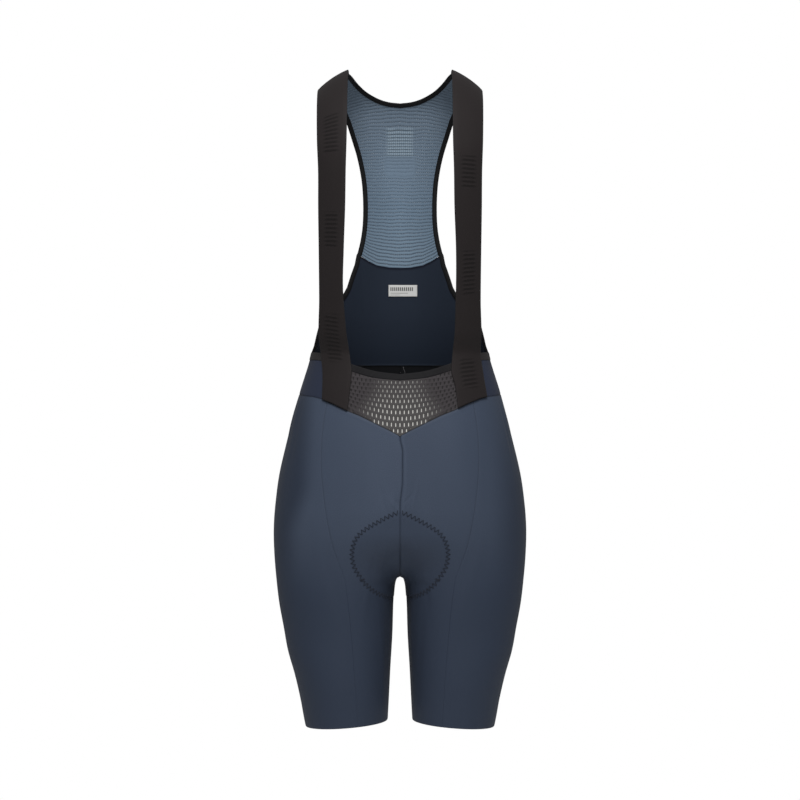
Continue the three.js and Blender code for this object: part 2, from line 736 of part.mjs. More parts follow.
// Binding along a cloth edge: its rounded section is carried from point to point
function edgeBinding(edge, mirrored) {
  const section = [
    [SEAM_GAP, BINDING_RAISE],
    [SEAM_GAP + BINDING_WIDTH - BINDING_ROUND, BINDING_RAISE],
    [SEAM_GAP + BINDING_WIDTH, BINDING_RAISE - BINDING_ROUND],
    [SEAM_GAP + BINDING_WIDTH, BINDING_RAISE - BINDING_THICKNESS + BINDING_ROUND],
    [SEAM_GAP + BINDING_WIDTH - BINDING_ROUND, BINDING_RAISE - BINDING_THICKNESS],
    [SEAM_GAP, BINDING_RAISE - BINDING_THICKNESS],
  ];
  const sides = section.length;
  const points = [];
  edge.forEach(({ point, outward }, index) => {
    const before = edge[Math.max(index - 1, 0)].point;
    const after = edge[Math.min(index + 1, edge.length - 1)].point;
    const away = unit(cross(outward, unit(minus(after, before))));
    for (const [out, raise] of section) points.push(move(move(point, away, out), outward, raise));
  });
  const faces = [];
  for (let index = 0; index < edge.length - 1; index += 1) {
    for (let side = 0; side < sides; side += 1) {
      const next = (side + 1) % sides;
      const [a, b] = [index * sides + side, index * sides + next];
      const [c, d] = [a + sides, b + sides];
      faces.push([a, c, d], [a, d, b]);
    }
  }
  const last = (edge.length - 1) * sides;
  for (let side = 1; side < sides - 1; side += 1) {
    faces.push([0, side, side + 1], [last, last + side + 1, last + side]);
  }
  return closedMesh(points, faces, mirrored);
}

function armholeEdge() {
  const edge = [];
  const backPoint = (across, up) => {
    const turn = mix(0.5, 1, across);
    return bodyPoint(mix(yokeHeight(turn), lowerBackTop(turn), up), turn);
  };
  const turns = [...BINDING_TURNS, ...LOWER_BACK_TOP.slice(1).map((row) => row.turn)];
  for (const turn of turns) {
    const across = (turn - 0.5) * 2;
    edge.push({ point: backPoint(across, 1), outward: outwardOf(backPoint, across, 1) });
  }
  const { bottom, top } = BINDING_MESH_ENDS;
  for (const up of [bottom, ...steps(MESH_ROWS).slice(1, -1), top]) {
    edge.push({ point: backMeshPoint(0, up), outward: outwardOf(backMeshPoint, 0, up) });
  }
  return edge;
}

function neckEdge() {
  const ends = NECK_SHARE * NECK_BINDING_END;
  const inside = MESH_COLUMNS.filter((across) => Math.abs(1 - 2 * across) < ends);
  return [(1 - ends) / 2, ...inside, (1 + ends) / 2].map((across) => (
    { point: backMeshPoint(across, 1), outward: outwardOf(backMeshPoint, across, 1) }
  ));
}

const STRAP_COLUMNS = 4;
const STRAP_ROWS = 30;

// Strap of one side, from the yoke seam over the shoulder to the back mesh
function strap(inName, outName, mirrored) {
  const riseAt = (way) => FRONT_CHEST_HEIGHT + CHEST_WAY - way;
  const edgeAt = (way, across) => {
    const from = smooth(STRAP_EDGES, "rise", riseAt(way), inName);
    return mix(from, smooth(STRAP_EDGES, "rise", riseAt(way), outName), across);
  };
  const endWay = (across) => {
    const x = edgeAt(CHEST_WAY + FRONT_CHEST_HEIGHT, across);
    const out = x / smooth(SECTIONS, "height", 0, "half");
    const turn = Math.atan2(out, (1 - out ** BODY_ROUNDNESS) ** (1 / BODY_ROUNDNESS)) / Math.PI;
    return CHEST_WAY + FRONT_CHEST_HEIGHT - yokeHeight(turn) - SEAM_GAP;
  };
  const wayAt = (across, up) => mix(endWay(across), SEAM_WAY + SEAM_GAP, up);
  const pointAt = (across, up) => {
    const way = wayAt(across, up);
    return torsoPoint(edgeAt(way, across), way);
  };
  const raise = (across, up) => {
    const height = riseAt(wayAt(across, up));
    const { sewn, free, sewnHeight, freeHeight } = STRAP_LIFT;
    const part = THREE.MathUtils.smoothstep(height, sewnHeight, freeHeight);
    return mix(sewn, free, part) + STRAP_THICKNESS;
  };
  return sheetWall({
    pointAt,
    acrossSteps: steps(STRAP_COLUMNS),
    upSteps: steps(STRAP_ROWS),
    raise,
    thickness: STRAP_THICKNESS,
    mirrored,
  });
}

const LABEL_COLUMNS = 6;
const LABEL_ROWS = 2;

// Label on the inner face of the lower back
function label() {
  const pointAt = (across, up) => {
    const x = LABEL_CENTRE.x + mix(LABEL_WIDTH, -LABEL_WIDTH, across) / 2;
    const height = LABEL_CENTRE.height + mix(-LABEL_HEIGHT, LABEL_HEIGHT, up) / 2;
    return torsoPoint(x, height);
  };
  return sheetWall({
    pointAt,
    acrossSteps: steps(LABEL_COLUMNS),
    upSteps: steps(LABEL_ROWS),
    raise: -PANEL_THICKNESS - SEAM_GAP,
    thickness: LABEL_THICKNESS,
  });
}

// Seat pad: rings round the fork, spread over both legs, the front and the seat
function seatPad() {
  const quarter = steps(PAD_QUARTER).map((part) => 180 * (1 - (1 - part) ** PAD_CROWDING));
  const spokes = [];
  quarter.slice(0, -1).forEach((angle) => spokes.push({ angle, onFront: true, sign: 1 }));
  quarter.slice(1).reverse().forEach((angle) => spokes.push({ angle, onFront: false, sign: 1 }));
  quarter.slice(0, -1).forEach((angle) => spokes.push({ angle, onFront: false, sign: -1 }));
  quarter.slice(1).reverse().forEach((angle) => spokes.push({ angle, onFront: true, sign: -1 }));
  const forkPoint = legPoint(FORK_HEIGHT, 0);
  const points = [[0, forkPoint[1], FORK_HEIGHT]];
  const facing = [[0, 0, -1]];
  const shares = [0];
  for (let index = 1; index <= PAD_RINGS; index += 1) {
    const share = index / PAD_RINGS;
    for (const { angle, onFront, sign } of spokes) {
      const reach = smooth(PAD_REACH, "angle", angle, onFront ? "front" : "back") * share * share;
      const radians = THREE.MathUtils.degToRad(angle);
      const height = FORK_HEIGHT + reach * Math.cos(radians);
      const inner = height < FORK_HEIGHT ? legSpace(height) : 0;
      const x = inner + reach * Math.sin(radians);
      const onMiddle = angle === 0 || angle === 180;
      const turn = onMiddle ? (onFront ? 0 : 1) : turnAtX(height, x, onFront);
      const side = angle === 0 ? 0 : sign;
      const point = shortsPoint(height, turn);
      const outward = shortsOutward(height, turn);
      points.push([side * point[0], point[1], point[2]]);
      facing.push(unit([side * outward[0], outward[1], outward[2]]));
      shares.push(share);
    }
  }
  const count = spokes.length;
  const at = (ringIndex, spoke) => 1 + (ringIndex - 1) * count + (spoke % count);
  const faces = [];
  for (let spoke = 0; spoke < count; spoke += 1) {
    faces.push([0, at(1, spoke + 1), at(1, spoke)]);
    for (let index = 1; index < PAD_RINGS; index += 1) {
      const [a, b] = [at(index, spoke), at(index, spoke + 1)];
      const [c, d] = [at(index + 1, spoke), at(index + 1, spoke + 1)];
      const angleRises = Math.floor(spoke / PAD_QUARTER) % 2 === 0;
      if (angleRises) faces.push([a, b, c], [b, d, c]);
      else faces.push([a, d, c], [a, b, d]);
    }
  }
  const { edge, fork } = PAD_CLEARANCE;
  const near = shares.map((share) => PANEL_THICKNESS + mix(edge, fork, (1 - share) ** 2));
  const far = shares.map((share, index) => near[index] + mix(PAD_EDGE, PAD_MIDDLE, 1 - share ** 4));
  const outer = points.map((point, index) => move(point, facing[index], -near[index]));
  const inner = points.map((point, index) => move(point, facing[index], -far[index]));
  const total = points.length;
  const shell = [];
  for (const [a, b, c] of faces) shell.push([a, b, c], [total + a, total + c, total + b]);
  for (let spoke = 0; spoke < count; spoke += 1) {
    const [a, b] = [at(PAD_RINGS, spoke), at(PAD_RINGS, spoke + 1)];
    shell.push([a, b, total + a], [b, total + b, total + a]);
  }
  return closedMesh([...outer, ...inner], shell, false);
}

// Materials: colour, roughness and metalness of each cloth
const CLOTH = {
  jersey: { color: "#434b5b", roughness: 0.62, metalness: 0 },
  yoke: { color: "#363c4c", roughness: 0.68, metalness: 0 },
  backMesh: { color: "#62707f", roughness: 0.75, metalness: 0 },
  frontMesh: { color: "#4a4948", roughness: 0.8, metalness: 0 },
  elastic: { color: "#2c2827", roughness: 0.72, metalness: 0 },
  binding: { color: "#141417", roughness: 0.7, metalness: 0 },
  label: { color: "#cdcdc8", roughness: 0.6, metalness: 0 },
  pad: { color: "#23262e", roughness: 0.85, metalness: 0 },
};

const shorts = new THREE.Group();

function add(name, geometry, cloth) {
  const mesh = new THREE.Mesh(geometry, new THREE.MeshStandardMaterial(CLOTH[cloth]));
  mesh.name = name;
  shorts.add(mesh);
}

for (const [side, mirrored] of [["left", false], ["right", true]]) {
  add(`front_panel_${side}`, shortsPanel(0, "frontSide", FRONT_COLUMNS, mirrored), "jersey");
  add(`side_panel_${side}`, shortsPanel("frontSide", "outerBack", SIDE_COLUMNS, mirrored), "jersey");
  add(`back_panel_${side}`, shortsPanel("outerBack", 1, BACK_COLUMNS, mirrored), "jersey");
  add(`hip_yoke_${side}`, hipYoke(mirrored), "yoke");
  add(`strap_${side}`, strap(`${side}In`, `${side}Out`, mirrored), "elastic");
  add(`armhole_binding_${side}`, edgeBinding(armholeEdge(), mirrored), "binding");
}
add("front_mesh", frontMesh(), "frontMesh");
add("front_band", frontBand(), "elastic");
add("lower_back", lowerBack(), "yoke");
add("back_mesh", backMesh(), "backMesh");
add("neck_binding", edgeBinding(neckEdge(), false), "binding");
add("label", label(), "label");
add("seat_pad", seatPad(), "pad");

export default shorts;
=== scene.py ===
# %% [markdown]
# # Cycling bib shorts
# The part is a pair of worn bib shorts with nobody in them: tight jersey legs, a yoke at
# the waist, two elastic straps, and a thin ribbed mesh up the back. Every piece is a shell
# of cloth on the imported model's surface. We load that model first and count its parts.

# %% Load the imported model
import bpy
import numpy as np
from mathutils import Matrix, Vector


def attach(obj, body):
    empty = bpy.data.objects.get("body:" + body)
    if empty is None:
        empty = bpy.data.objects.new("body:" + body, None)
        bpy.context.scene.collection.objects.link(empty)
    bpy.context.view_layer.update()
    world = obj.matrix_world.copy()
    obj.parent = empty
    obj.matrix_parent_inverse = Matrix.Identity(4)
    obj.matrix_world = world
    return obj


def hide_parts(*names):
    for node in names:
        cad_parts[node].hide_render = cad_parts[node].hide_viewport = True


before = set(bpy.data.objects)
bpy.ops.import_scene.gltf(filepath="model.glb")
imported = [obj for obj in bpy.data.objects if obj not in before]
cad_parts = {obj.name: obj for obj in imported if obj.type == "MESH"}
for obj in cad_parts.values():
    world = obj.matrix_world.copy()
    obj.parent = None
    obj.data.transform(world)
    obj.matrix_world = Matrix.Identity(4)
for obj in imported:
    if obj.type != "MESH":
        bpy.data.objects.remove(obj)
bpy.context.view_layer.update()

scene = bpy.context.scene
print("nodes:", len(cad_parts))

# %% [markdown]
# ## Camera, floor and light
# A shop photograph of clothing is taken from straight ahead with a long lens, so the
# sides barely lean. The camera stands 3 m away with a 100 mm lens. The backdrop is white,
# but dark cloth would reflect a white room all round, so the room's own light is dimmed and
# broad soft lights above and in front make the middle brighter than the edges.

# %% Camera and stage
SHOULDER_HEIGHT = 433.0
CAMERA_DISTANCE = 3.0

camera_data = bpy.data.cameras.new("camera")
camera_data.lens = 100
camera_data.sensor_width = 36
camera = bpy.data.objects.new("camera", camera_data)
camera.location = (0, -CAMERA_DISTANCE, -SHOULDER_HEIGHT / 1000)
camera.rotation_euler = (np.pi / 2, 0, 0)
scene.collection.objects.link(camera)
scene.camera = camera
scene.view_settings.view_transform = "Standard"

ROOM_LIGHT = 0.26

world = bpy.data.worlds.new("white room")
scene.world = world
world.use_nodes = True
room = world.node_tree
backdrop = room.nodes["Background"]
backdrop.inputs["Color"].default_value = (1, 1, 1, 1)
dim = room.nodes.new("ShaderNodeBackground")
dim.inputs["Strength"].default_value = ROOM_LIGHT
seen = room.nodes.new("ShaderNodeLightPath")
either = room.nodes.new("ShaderNodeMixShader")
room.links.new(seen.outputs["Is Camera Ray"], either.inputs["Fac"])
room.links.new(dim.outputs[0], either.inputs[1])
room.links.new(backdrop.outputs[0], either.inputs[2])
room.links.new(either.outputs[0], room.nodes["World Output"].inputs["Surface"])


def soft_light(name, place, aim, wide, high, watts):
    data = bpy.data.lights.new(name, "AREA")
    data.shape = "RECTANGLE"
    data.size, data.size_y = wide, high
    data.energy = watts
    light = bpy.data.objects.new(name, data)
    light.location = place
    direction = np.array(aim) - np.array(place)
    light.rotation_euler = Vector(direction).to_track_quat("-Z", "Y").to_euler()
    scene.collection.objects.link(light)


soft_light("key above", (0.0, -1.9, 1.9), (0, 0, -0.45), 1.7, 0.8, 77)
soft_light("front fill", (0.1, -3.6, 0.5), (0, 0, -0.4), 2.2, 1.4, 24)

FLOOR_BELOW, FLOOR_REACH = 1.3, 1.6
floor_turns = np.linspace(0, 2 * np.pi, 97)[:-1]
floor_data = bpy.data.meshes.new("floor")
floor_data.from_pydata(
    [(FLOOR_REACH * np.cos(t), FLOOR_REACH * np.sin(t), -FLOOR_BELOW) for t in floor_turns],
    [], [tuple(range(96))])
floor = bpy.data.objects.new("floor", floor_data)
scene.collection.objects.link(floor)
floor_paint = bpy.data.materials.new("pale floor")
floor_paint.use_nodes = True
floor_paint.node_tree.nodes["Principled BSDF"].inputs["Base Color"].default_value = (0.93, 0.93, 0.93, 1)
floor_paint.node_tree.nodes["Principled BSDF"].inputs["Roughness"].default_value = 0.9
floor_data.materials.append(floor_paint)
print("camera", tuple(round(v, 3) for v in camera.location))

# %% [markdown]
# ## Sizes
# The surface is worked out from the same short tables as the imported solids, in
# millimetres, so that each shell lies exactly on its solid. Heights count from the waist,
# and a turn runs round the body: 0 is the centre front, 0.5 the side, 1 the centre back.

# %% Size tables


def table(columns, rows):
    values = np.array(rows, float).T
    return dict(zip(columns.split(), values))


SECTIONS = table("height half front back", [
    (-440, 127, -63, 58), (-424, 130.2, -64.5, 60), (-402, 134.2, -67, 63),
    (-370, 141.7, -70.5, 68.5), (-337, 151.2, -75, 76), (-305, 157.2, -79, 84),
    (-273, 163.2, -82, 91), (-240, 167.2, -84, 98), (-208, 170, -86.5, 108),
    (-175, 171, -91, 117), (-143, 169, -96, 122), (-100, 163, -100, 122),
    (-46, 150, -101, 112), (8, 136, -96, 97), (61, 120, -88, 83), (90, 116.8, -90, 79),
    (120, 118.4, -92, 79), (178, 129, -100, 86), (240, 137, -106, 96),
    (300, 144, -110, 103), (335, 147, -112, 104)])
SHOULDER = table("y height lean half depth", [
    (99, 375, 14, 148, 112), (88, 408, 32, 149, 118), (66, 434, 52, 150, 127),
    (35, 451, 71, 148, 139), (-5, 457, 90, 146.5, 146), (-50, 447, 110, 147, 139),
    (-88, 418, 133, 148, 128), (-113, 380, 157, 147, 120)])
CHEST = table("height y half depth", [
    (335, -127, 147, 116), (300, -131, 144, 117), (240, -127, 142, 112),
    (178, -118, 140, 105), (120, -106, 136, 98), (90, -97, 130, 92)])
LEG_SPACE = table("below half", [
    (0, 0.15), (0.6, 2.4), (2.4, 4.6), (6, 6), (13.4, 7.4), (35, 9), (78, 10.3),
    (121, 12.8), (164, 14.9), (203, 17)])
YOKE_SEAM = table("turn height", [
    (0, -46.4), (0.04, -37.2), (0.08, -28.2), (0.12, -20), (0.165, -12.5), (0.21, -4.5),
    (0.257, 1.7), (0.3, 4.5), (0.38, 6.3), (0.44, 6.9), (0.5, 8.1), (0.55, 10.6),
    (0.6, 14.6), (0.65, 20), (0.7, 26.5), (0.75, 34), (0.8, 41.3), (0.84, 45.6),
    (0.88, 47.8), (0.93, 48.4), (1, 48.4)])
BAND_EDGES = table("turn low top", [
    (0, 25.4, 33.9), (0.08, 28.8, 37.8), (0.16, 37.1, 46.5), (0.24, 46.5, 56.2),
    (0.315, 52.3, 62), (0.4, 53.6, 63.6), (0.5, 54, 64)])
LOWER_BACK_TOP = table("turn height", [
    (0.5, 58.7), (0.54, 61.8), (0.58, 70), (0.61, 84), (0.643, 98.5), (0.69, 111),
    (0.734, 121.2), (0.775, 132.5), (0.8015, 142.8), (0.821, 153), (0.8334, 164),
    (0.8456, 175), (0.8577, 186), (0.866, 199.35)])
MESH_SEAM = table("turn height", [
    (0.866, 199.5), (0.894, 192), (0.9217, 186.5), (0.963, 183.5), (1, 183)])
LONG_SEAMS = table("height frontSide outerBack", [
    (-440, 55, 96), (-330, 62, 113), (-240, 72, 127), (-216, 80, 130), (-193, 88, 132),
    (-151, 96, 132), (-112, 101, 129), (-72, 103, 124), (-33, 101, 118), (20, 93, 110)])
MESH_ARMHOLE = table("height x", [
    (199.5, 54.6), (219, 50), (242, 46.9), (271, 46.2), (299, 47.7), (321, 50.9),
    (342, 55.6), (364, 62.4), (386, 69.6), (404, 78), (418, 88)])
MESH_NECK = table("x height", [
    (0, 407.2), (18, 409.3), (34, 414.2), (50, 422.4), (60, 430.0), (67, 436.5)])
STRAP_EDGES = table("rise rightIn rightOut leftIn leftOut", [
    (-20, 69.5, 102.3, 76.5, 117), (0, 66.8, 101.8, 74.5, 114.6), (20, 64.6, 101.1, 71.6, 111.3),
    (37, 63.3, 101.2, 67.2, 108.6), (63, 66.2, 103.8, 68.9, 105.5), (92, 70.6, 106.7, 71.8, 106.7),
    (143, 75, 106.6, 73.6, 106.4), (195, 73.9, 106.8, 73.5, 106.7), (252, 71.8, 107.3, 71.3, 107.3),
    (299, 71, 107.3, 70.6, 107.6), (341, 69.9, 109, 69.4, 109), (420, 69.5, 110.2, 69.5, 110.3),
    (540, 70, 110.6, 70, 110.6)])
PAD_REACH = table("angle front back", [
    (0, 91, 138), (20, 83, 134), (45, 80.5, 118), (63, 71, 96), (84, 54, 74),
    (101, 38, 55), (129, 29, 37), (155, 26, 30), (180, 28, 28)])
FORK_HEIGHT = -237.6
WAIST_HEIGHT = 61.0
FRONT_CHEST_HEIGHT = 335.0
HALVINGS = 40
print("sections:", len(SECTIONS["height"]))

# %% [markdown]
# Between two rows of a table the value runs on a smooth curve, so hips and thighs have no
# kinks. Sections of the body and legs are rounded rings, fuller than an ellipse.

# %% Reading the tables
BODY_ROUNDNESS, LEG_ROUNDNESS = 2.3, 2.1


def smooth(rows, at, name):
    """A column's value at a place in the first column, on a curve through all rows."""
    keys, values = next(iter(rows.values())), rows[name]
    slopes = np.empty_like(values)
    slopes[1:-1] = (values[2:] - values[:-2]) / (keys[2:] - keys[:-2])
    slopes[0] = (values[1] - values[0]) / (keys[1] - keys[0])
    slopes[-1] = (values[-1] - values[-2]) / (keys[-1] - keys[-2])
    at = np.asarray(at, float)
    low = np.clip(np.searchsorted(keys, at, side="right") - 1, 0, len(keys) - 2)
    span = keys[low + 1] - keys[low]
    whole = (at - keys[low]) / span
    part = np.clip(whole, 0, 1)
    square, cube = part ** 2, part ** 3
    value = (2 * cube - 3 * square + 1) * values[low] + (3 * square - 2 * cube) * values[low + 1]
    value = value + span * ((cube - 2 * square + part) * slopes[low] + (cube - square) * slopes[low + 1])
    before, after = np.minimum(whole, 0) * span, np.maximum(whole - 1, 0) * span
    return value + before * slopes[low] + after * slopes[low + 1]


def straight(rows, at, name):
    return np.interp(at, next(iter(rows.values())), rows[name])


def soft_step(value, low, high):
    """Rises smoothly from 0 at low to 1 at high."""
    part = np.clip((value - low) / (high - low), 0, 1)
    return part * part * (3 - 2 * part)


def mix(a, b, part):
    return a + (b - a) * part


def ring(angle, roundness):
    """A point on a rounded ring of reach 1: roundness 2 is an ellipse, more is fuller."""
    across, along = np.sin(angle), np.cos(angle)
    reach = (np.abs(across) ** roundness + np.abs(along) ** roundness) ** (-1 / roundness)
    return across * reach, along * reach


def turn_across(share):
    """The turn at which the body's ring is this share of its half width across."""
    return np.arctan2(share, (1 - share ** BODY_ROUNDNESS) ** (1 / BODY_ROUNDNESS)) / np.pi


def section(height):
    return [smooth(SECTIONS, height, name) for name in ("half", "front", "back")]


def bisect(low, high, is_short):
    """Closes in on the place between low and high where is_short turns false."""
    for _ in range(HALVINGS):
        middle = (low + high) / 2
        short = is_short(middle)
        low, high = np.where(short, middle, low), np.where(short, high, middle)
    return (low + high) / 2


print("waist half width", round(float(smooth(SECTIONS, WAIST_HEIGHT, "half")), 1), "mm")

# %% [markdown]
# ## The shorts' surface
# Below the fork there are two legs, above it one body. A share that grows smoothly round
# the fork blends the leg's ring into the body's ring, which gives the rounded crotch.

# %% Body, legs and crotch
CROTCH_RISE, CROTCH_SPREAD = 65.0, 220.0
HALF_SEAM_GAP = 0.15
MAIN_FOLDS = [  # turn, height, length, width in turns, rise
    (0.4, -22, 26, 0.016, 1.4), (0.44, -30, 30, 0.014, 1.2), (0.47, -12, 18, 0.014, -0.9),
    (0.03, -142, 16, 0.02, 1.2), (0.93, -160, 34, 0.02, -1.6)]


def body_point(height, turn):
    half, front, back = section(height)
    across, along = ring(np.pi * turn, BODY_ROUNDNESS)
    return np.stack(np.broadcast_arrays(
        half * across, (front + back) / 2 - (back - front) / 2 * along, height), -1)


def leg_space(height, above_fork=0.0):
    """Half the space between the legs, and this value above the fork."""
    below = smooth(LEG_SPACE, np.maximum(FORK_HEIGHT - height, 0), "half")
    return np.where(height >= FORK_HEIGHT, above_fork, below)


# the same space averaged over 17 mm, so that the fork leaves no ledge on the thighs
space_heights = np.arange(-480.0, -180.0, 0.25)
near_weights = np.hanning(69) / np.hanning(69).sum()
space_nearby = np.convolve(leg_space(space_heights, HALF_SEAM_GAP), near_weights, "same")


def leg_point(height, turn):
    half, front, back = section(height)
    from_seam = soft_step(np.minimum(np.abs(turn), np.abs(1 - turn)), 0, 0.035)
    inner = mix(leg_space(height, HALF_SEAM_GAP), np.interp(height, space_heights, space_nearby), from_seam)
    across, along = ring(2 * np.pi * turn, LEG_ROUNDNESS)
    x = (half + inner) / 2 - (half - inner) / 2 * along
    return np.stack(np.broadcast_arrays(
        x, (front + back) / 2 - (back - front) / 2 * across, height), -1)


def body_share(height, turn):
    above = height - FORK_HEIGHT
    out = CROTCH_SPREAD * np.minimum(np.abs(turn), np.abs(1 - turn))
    rise = np.minimum((np.hypot(above, out) + above) / 2 / CROTCH_RISE, 1)
    return np.sqrt(1 - (1 - rise) ** 2) * soft_step(above, -150, -60)


def shorts_point(height, turn):
    height, turn = np.broadcast_arrays(np.asarray(height, float), np.asarray(turn, float))
    share = body_share(height, turn)
    point = mix(leg_point(height, turn), body_point(height, turn), share[..., None])
    raised = sum(r * np.exp(-((height - h) / long) ** 2 - ((turn - t) / wide) ** 2)
                 for t, h, long, wide, r in MAIN_FOLDS)
    angle = mix(2, 1, share) * np.pi * turn
    point[..., 0] += raised * np.sin(np.pi * turn)
    point[..., 1] -= raised * np.where(share > 0.5, np.cos(np.pi * turn), np.sin(angle))
    return point


def unit(vectors):
    return vectors / np.maximum(np.linalg.norm(vectors, axis=-1, keepdims=True), 1e-12)


def shorts_outward(height, turn):
    along = shorts_point(height, turn + 0.002) - shorts_point(height, turn - 0.002)
    rise = shorts_point(height + 0.8, turn) - shorts_point(height - 0.8, turn)
    return unit(np.cross(along, rise))


def turn_at_x(height, x, on_front):
    height, x = np.broadcast_arrays(np.asarray(height, float), np.asarray(x, float))
    middle_of_body = np.full(x.shape, 0.0 if on_front else 1.0)
    return bisect(middle_of_body, np.full(x.shape, 0.5), lambda turn: shorts_point(height, turn)[..., 0] < x)


print("side of the hips at", shorts_point(-175.0, 0.5).round(1), "mm")

# %% [markdown]
# ## The torso's surface
# Straps and back mesh lie on a path that runs up the back, over the shoulder and down the
# chest. Each row of the path leans from upright through flat to upright again.

# %% Back, shoulders and chest
STRAP_MIDDLE_X = 88.0


def curve_back(x, half, depth):
    """How far the surface has curved away from its middle line, x mm beside it."""
    out = np.minimum(np.abs(x) / half, 0.999) ** BODY_ROUNDNESS
    return depth * (1 - (1 - out) ** (1 / BODY_ROUNDNESS))


def front_place(x, height):
    half, front, back = section(height)
    return np.stack([x, front + curve_back(x, half, (back - front) / 2), height], -1)


def shoulder_path():
    """Rows of the path: first up the back, then over the shoulder, the chest and the belly."""
    rows = []
    for height, half, front, back in zip(*SECTIONS.values()):
        if height >= WAIST_HEIGHT:
            rows.append([height, back, height, 0, half, (back - front) / 2])
    later = [[y, h, lean, half, depth] for y, h, lean, half, depth in zip(*SHOULDER.values())]
    later += [[y, h, 180, half, depth] for h, y, half, depth in zip(*CHEST.values())]
    waist = [[front, height, 180, half, (back - front) / 2]
             for height, half, front, back in zip(*SECTIONS.values())
             if -60 < height <= WAIST_HEIGHT]
    later += waist[::-1]

    def place(y, height, lean, half, depth):
        lost = curve_back(STRAP_MIDDLE_X, half, depth)
        lean = np.radians(lean)
        return y - np.cos(lean) * lost, height - np.sin(lean) * lost

    for row in later:
        last = rows[-1]
        (y0, h0), (y1, h1) = place(*last[1:]), place(*row)
        both_down = row[2] == 180 and last[3] == 180
        rows.append([last[0] + (last[2] - row[1] if both_down else np.hypot(y1 - y0, h1 - h0)), *row])
    return table("way y height lean half depth", rows)


PATH = shoulder_path()
CREST_WAY = PATH["way"][PATH["lean"] == 90][0]
CHEST_WAY = PATH["way"][PATH["lean"] == 180][0]
SHOULDER_SEAM_BACK = 20
SEAM_WAY = CREST_WAY - SHOULDER_SEAM_BACK


def torso_point(x, way):
    x, way = np.broadcast_arrays(np.asarray(x, float), np.asarray(way, float))
    columns = ("y", "height", "lean", "half", "depth")
    y, height, lean, half, depth = (smooth(PATH, way, name) for name in columns)
    lean, lost = np.radians(lean), curve_back(x, half, depth)
    over = np.stack([x, y - np.cos(lean) * lost, height - np.sin(lean) * lost], -1)
    front_height = FRONT_CHEST_HEIGHT + CHEST_WAY - way
    return np.where((front_height < WAIST_HEIGHT)[..., None], front_place(x, front_height), over)


def back_way(x, height):
    x, height = np.broadcast_arrays(np.asarray(x, float), np.asarray(height, float))
    return bisect(np.full(x.shape, WAIST_HEIGHT), np.full(x.shape, CREST_WAY),
                  lambda way: torso_point(x, way)[..., 2] < height)


def outward_of(point_at, a, b, step_a, step_b):
    along = point_at(a + step_a, b) - point_at(a - step_a, b)
    rise = point_at(a, b + step_b) - point_at(a, b - step_b)
    return unit(np.cross(along, rise))


print("shoulder crest at way", round(float(CREST_WAY), 1))

# %% [markdown]
# ## Making a shell of cloth
# Cloth could be one sheet with a Solidify modifier, but then both faces are alike. Here an
# outer layer and an inner layer are built and joined along every open edge, also round the
# holes of a net. So each shell is closed, has its real thickness, and its inner face can
# take another finish. UVs hold the distance along the cloth in metres, so that a weave has
# the same size on every piece.

# %% Shell builder


def add_piece(name, points, faces, cloth_at=None):
    """A smooth mesh on the body, from points in mm, with the cloth's own UV map in metres."""
    data = bpy.data.meshes.new(name)
    data.from_pydata(((points - (0, 0, SHOULDER_HEIGHT)) / 1000).tolist(), [], faces)
    data.polygons.foreach_set("use_smooth", np.ones(len(faces), bool))
    layer = data.uv_layers.new(name="cloth")
    if cloth_at is not None:
        loops = np.empty(len(data.loops), np.int32)
        data.loops.foreach_get("vertex_index", loops)
        layer.data.foreach_set("uv", (cloth_at / 1000)[loops].astype(np.float32).ravel())
    data.update()
    piece = bpy.data.objects.new(name, data)
    scene.collection.objects.link(piece)
    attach(piece, "root")
    return piece


def shell(name, outer, inner, faces, cloth_at, masks=None):
    """Closed cloth from an outer and an inner layer of points (mm) and the outer layer's faces."""
    corners = np.array([f if len(f) == 4 else (*f, -1) for f in faces])
    count = len(outer)
    pairs = []
    for k in range(4):
        a, b = corners[:, k], corners[:, (k + 1) % 4]
        if k == 2:
            b = np.where(corners[:, 3] < 0, corners[:, 0], b)
        keep = (a >= 0) & (b >= 0) if k < 3 else corners[:, 3] >= 0
        pairs.append(np.stack([a, b], 1)[keep])
    pairs = np.concatenate(pairs)
    ordered = np.sort(pairs, axis=1)
    _, index, uses = np.unique(ordered[:, 0] * count + ordered[:, 1], return_index=True, return_counts=True)
    rim = pairs[index[uses == 1]]
    outer_faces = [tuple(f[f >= 0]) for f in corners]
    inner_faces = [tuple((f[f >= 0] + count)[::-1]) for f in corners]
    rim_faces = [(b, a, a + count, b + count) for a, b in rim]
    piece = add_piece(name, np.concatenate([outer, inner]), outer_faces + inner_faces + rim_faces,
                      np.tile(cloth_at, (2, 1)))
    side = np.array([0] * len(outer_faces) + [1] * len(inner_faces) + [0] * len(rim_faces), np.int32)
    piece.data.polygons.foreach_set("material_index", side)
    for mask, values in (masks or {}).items():
        made = piece.data.attributes.new(mask, "FLOAT", "POINT")
        made.data.foreach_set("value", np.tile(values, 2).astype(np.float32))
    piece.data.update()
    return piece


def grid_faces(rows, columns):
    at = np.arange(rows * columns).reshape(rows, columns)
    return np.stack([at[:-1, :-1], at[:-1, 1:], at[1:, 1:], at[1:, :-1]], -1).reshape(-1, 4)


def ring_faces(rows, around):
    """Faces between rows of points that are each closed round."""
    at = np.arange(rows * around).reshape(rows, around)
    beside = np.roll(at, -1, axis=1)
    return np.stack([at[:-1], beside[:-1], beside[1:], at[1:]], -1).reshape(-1, 4)


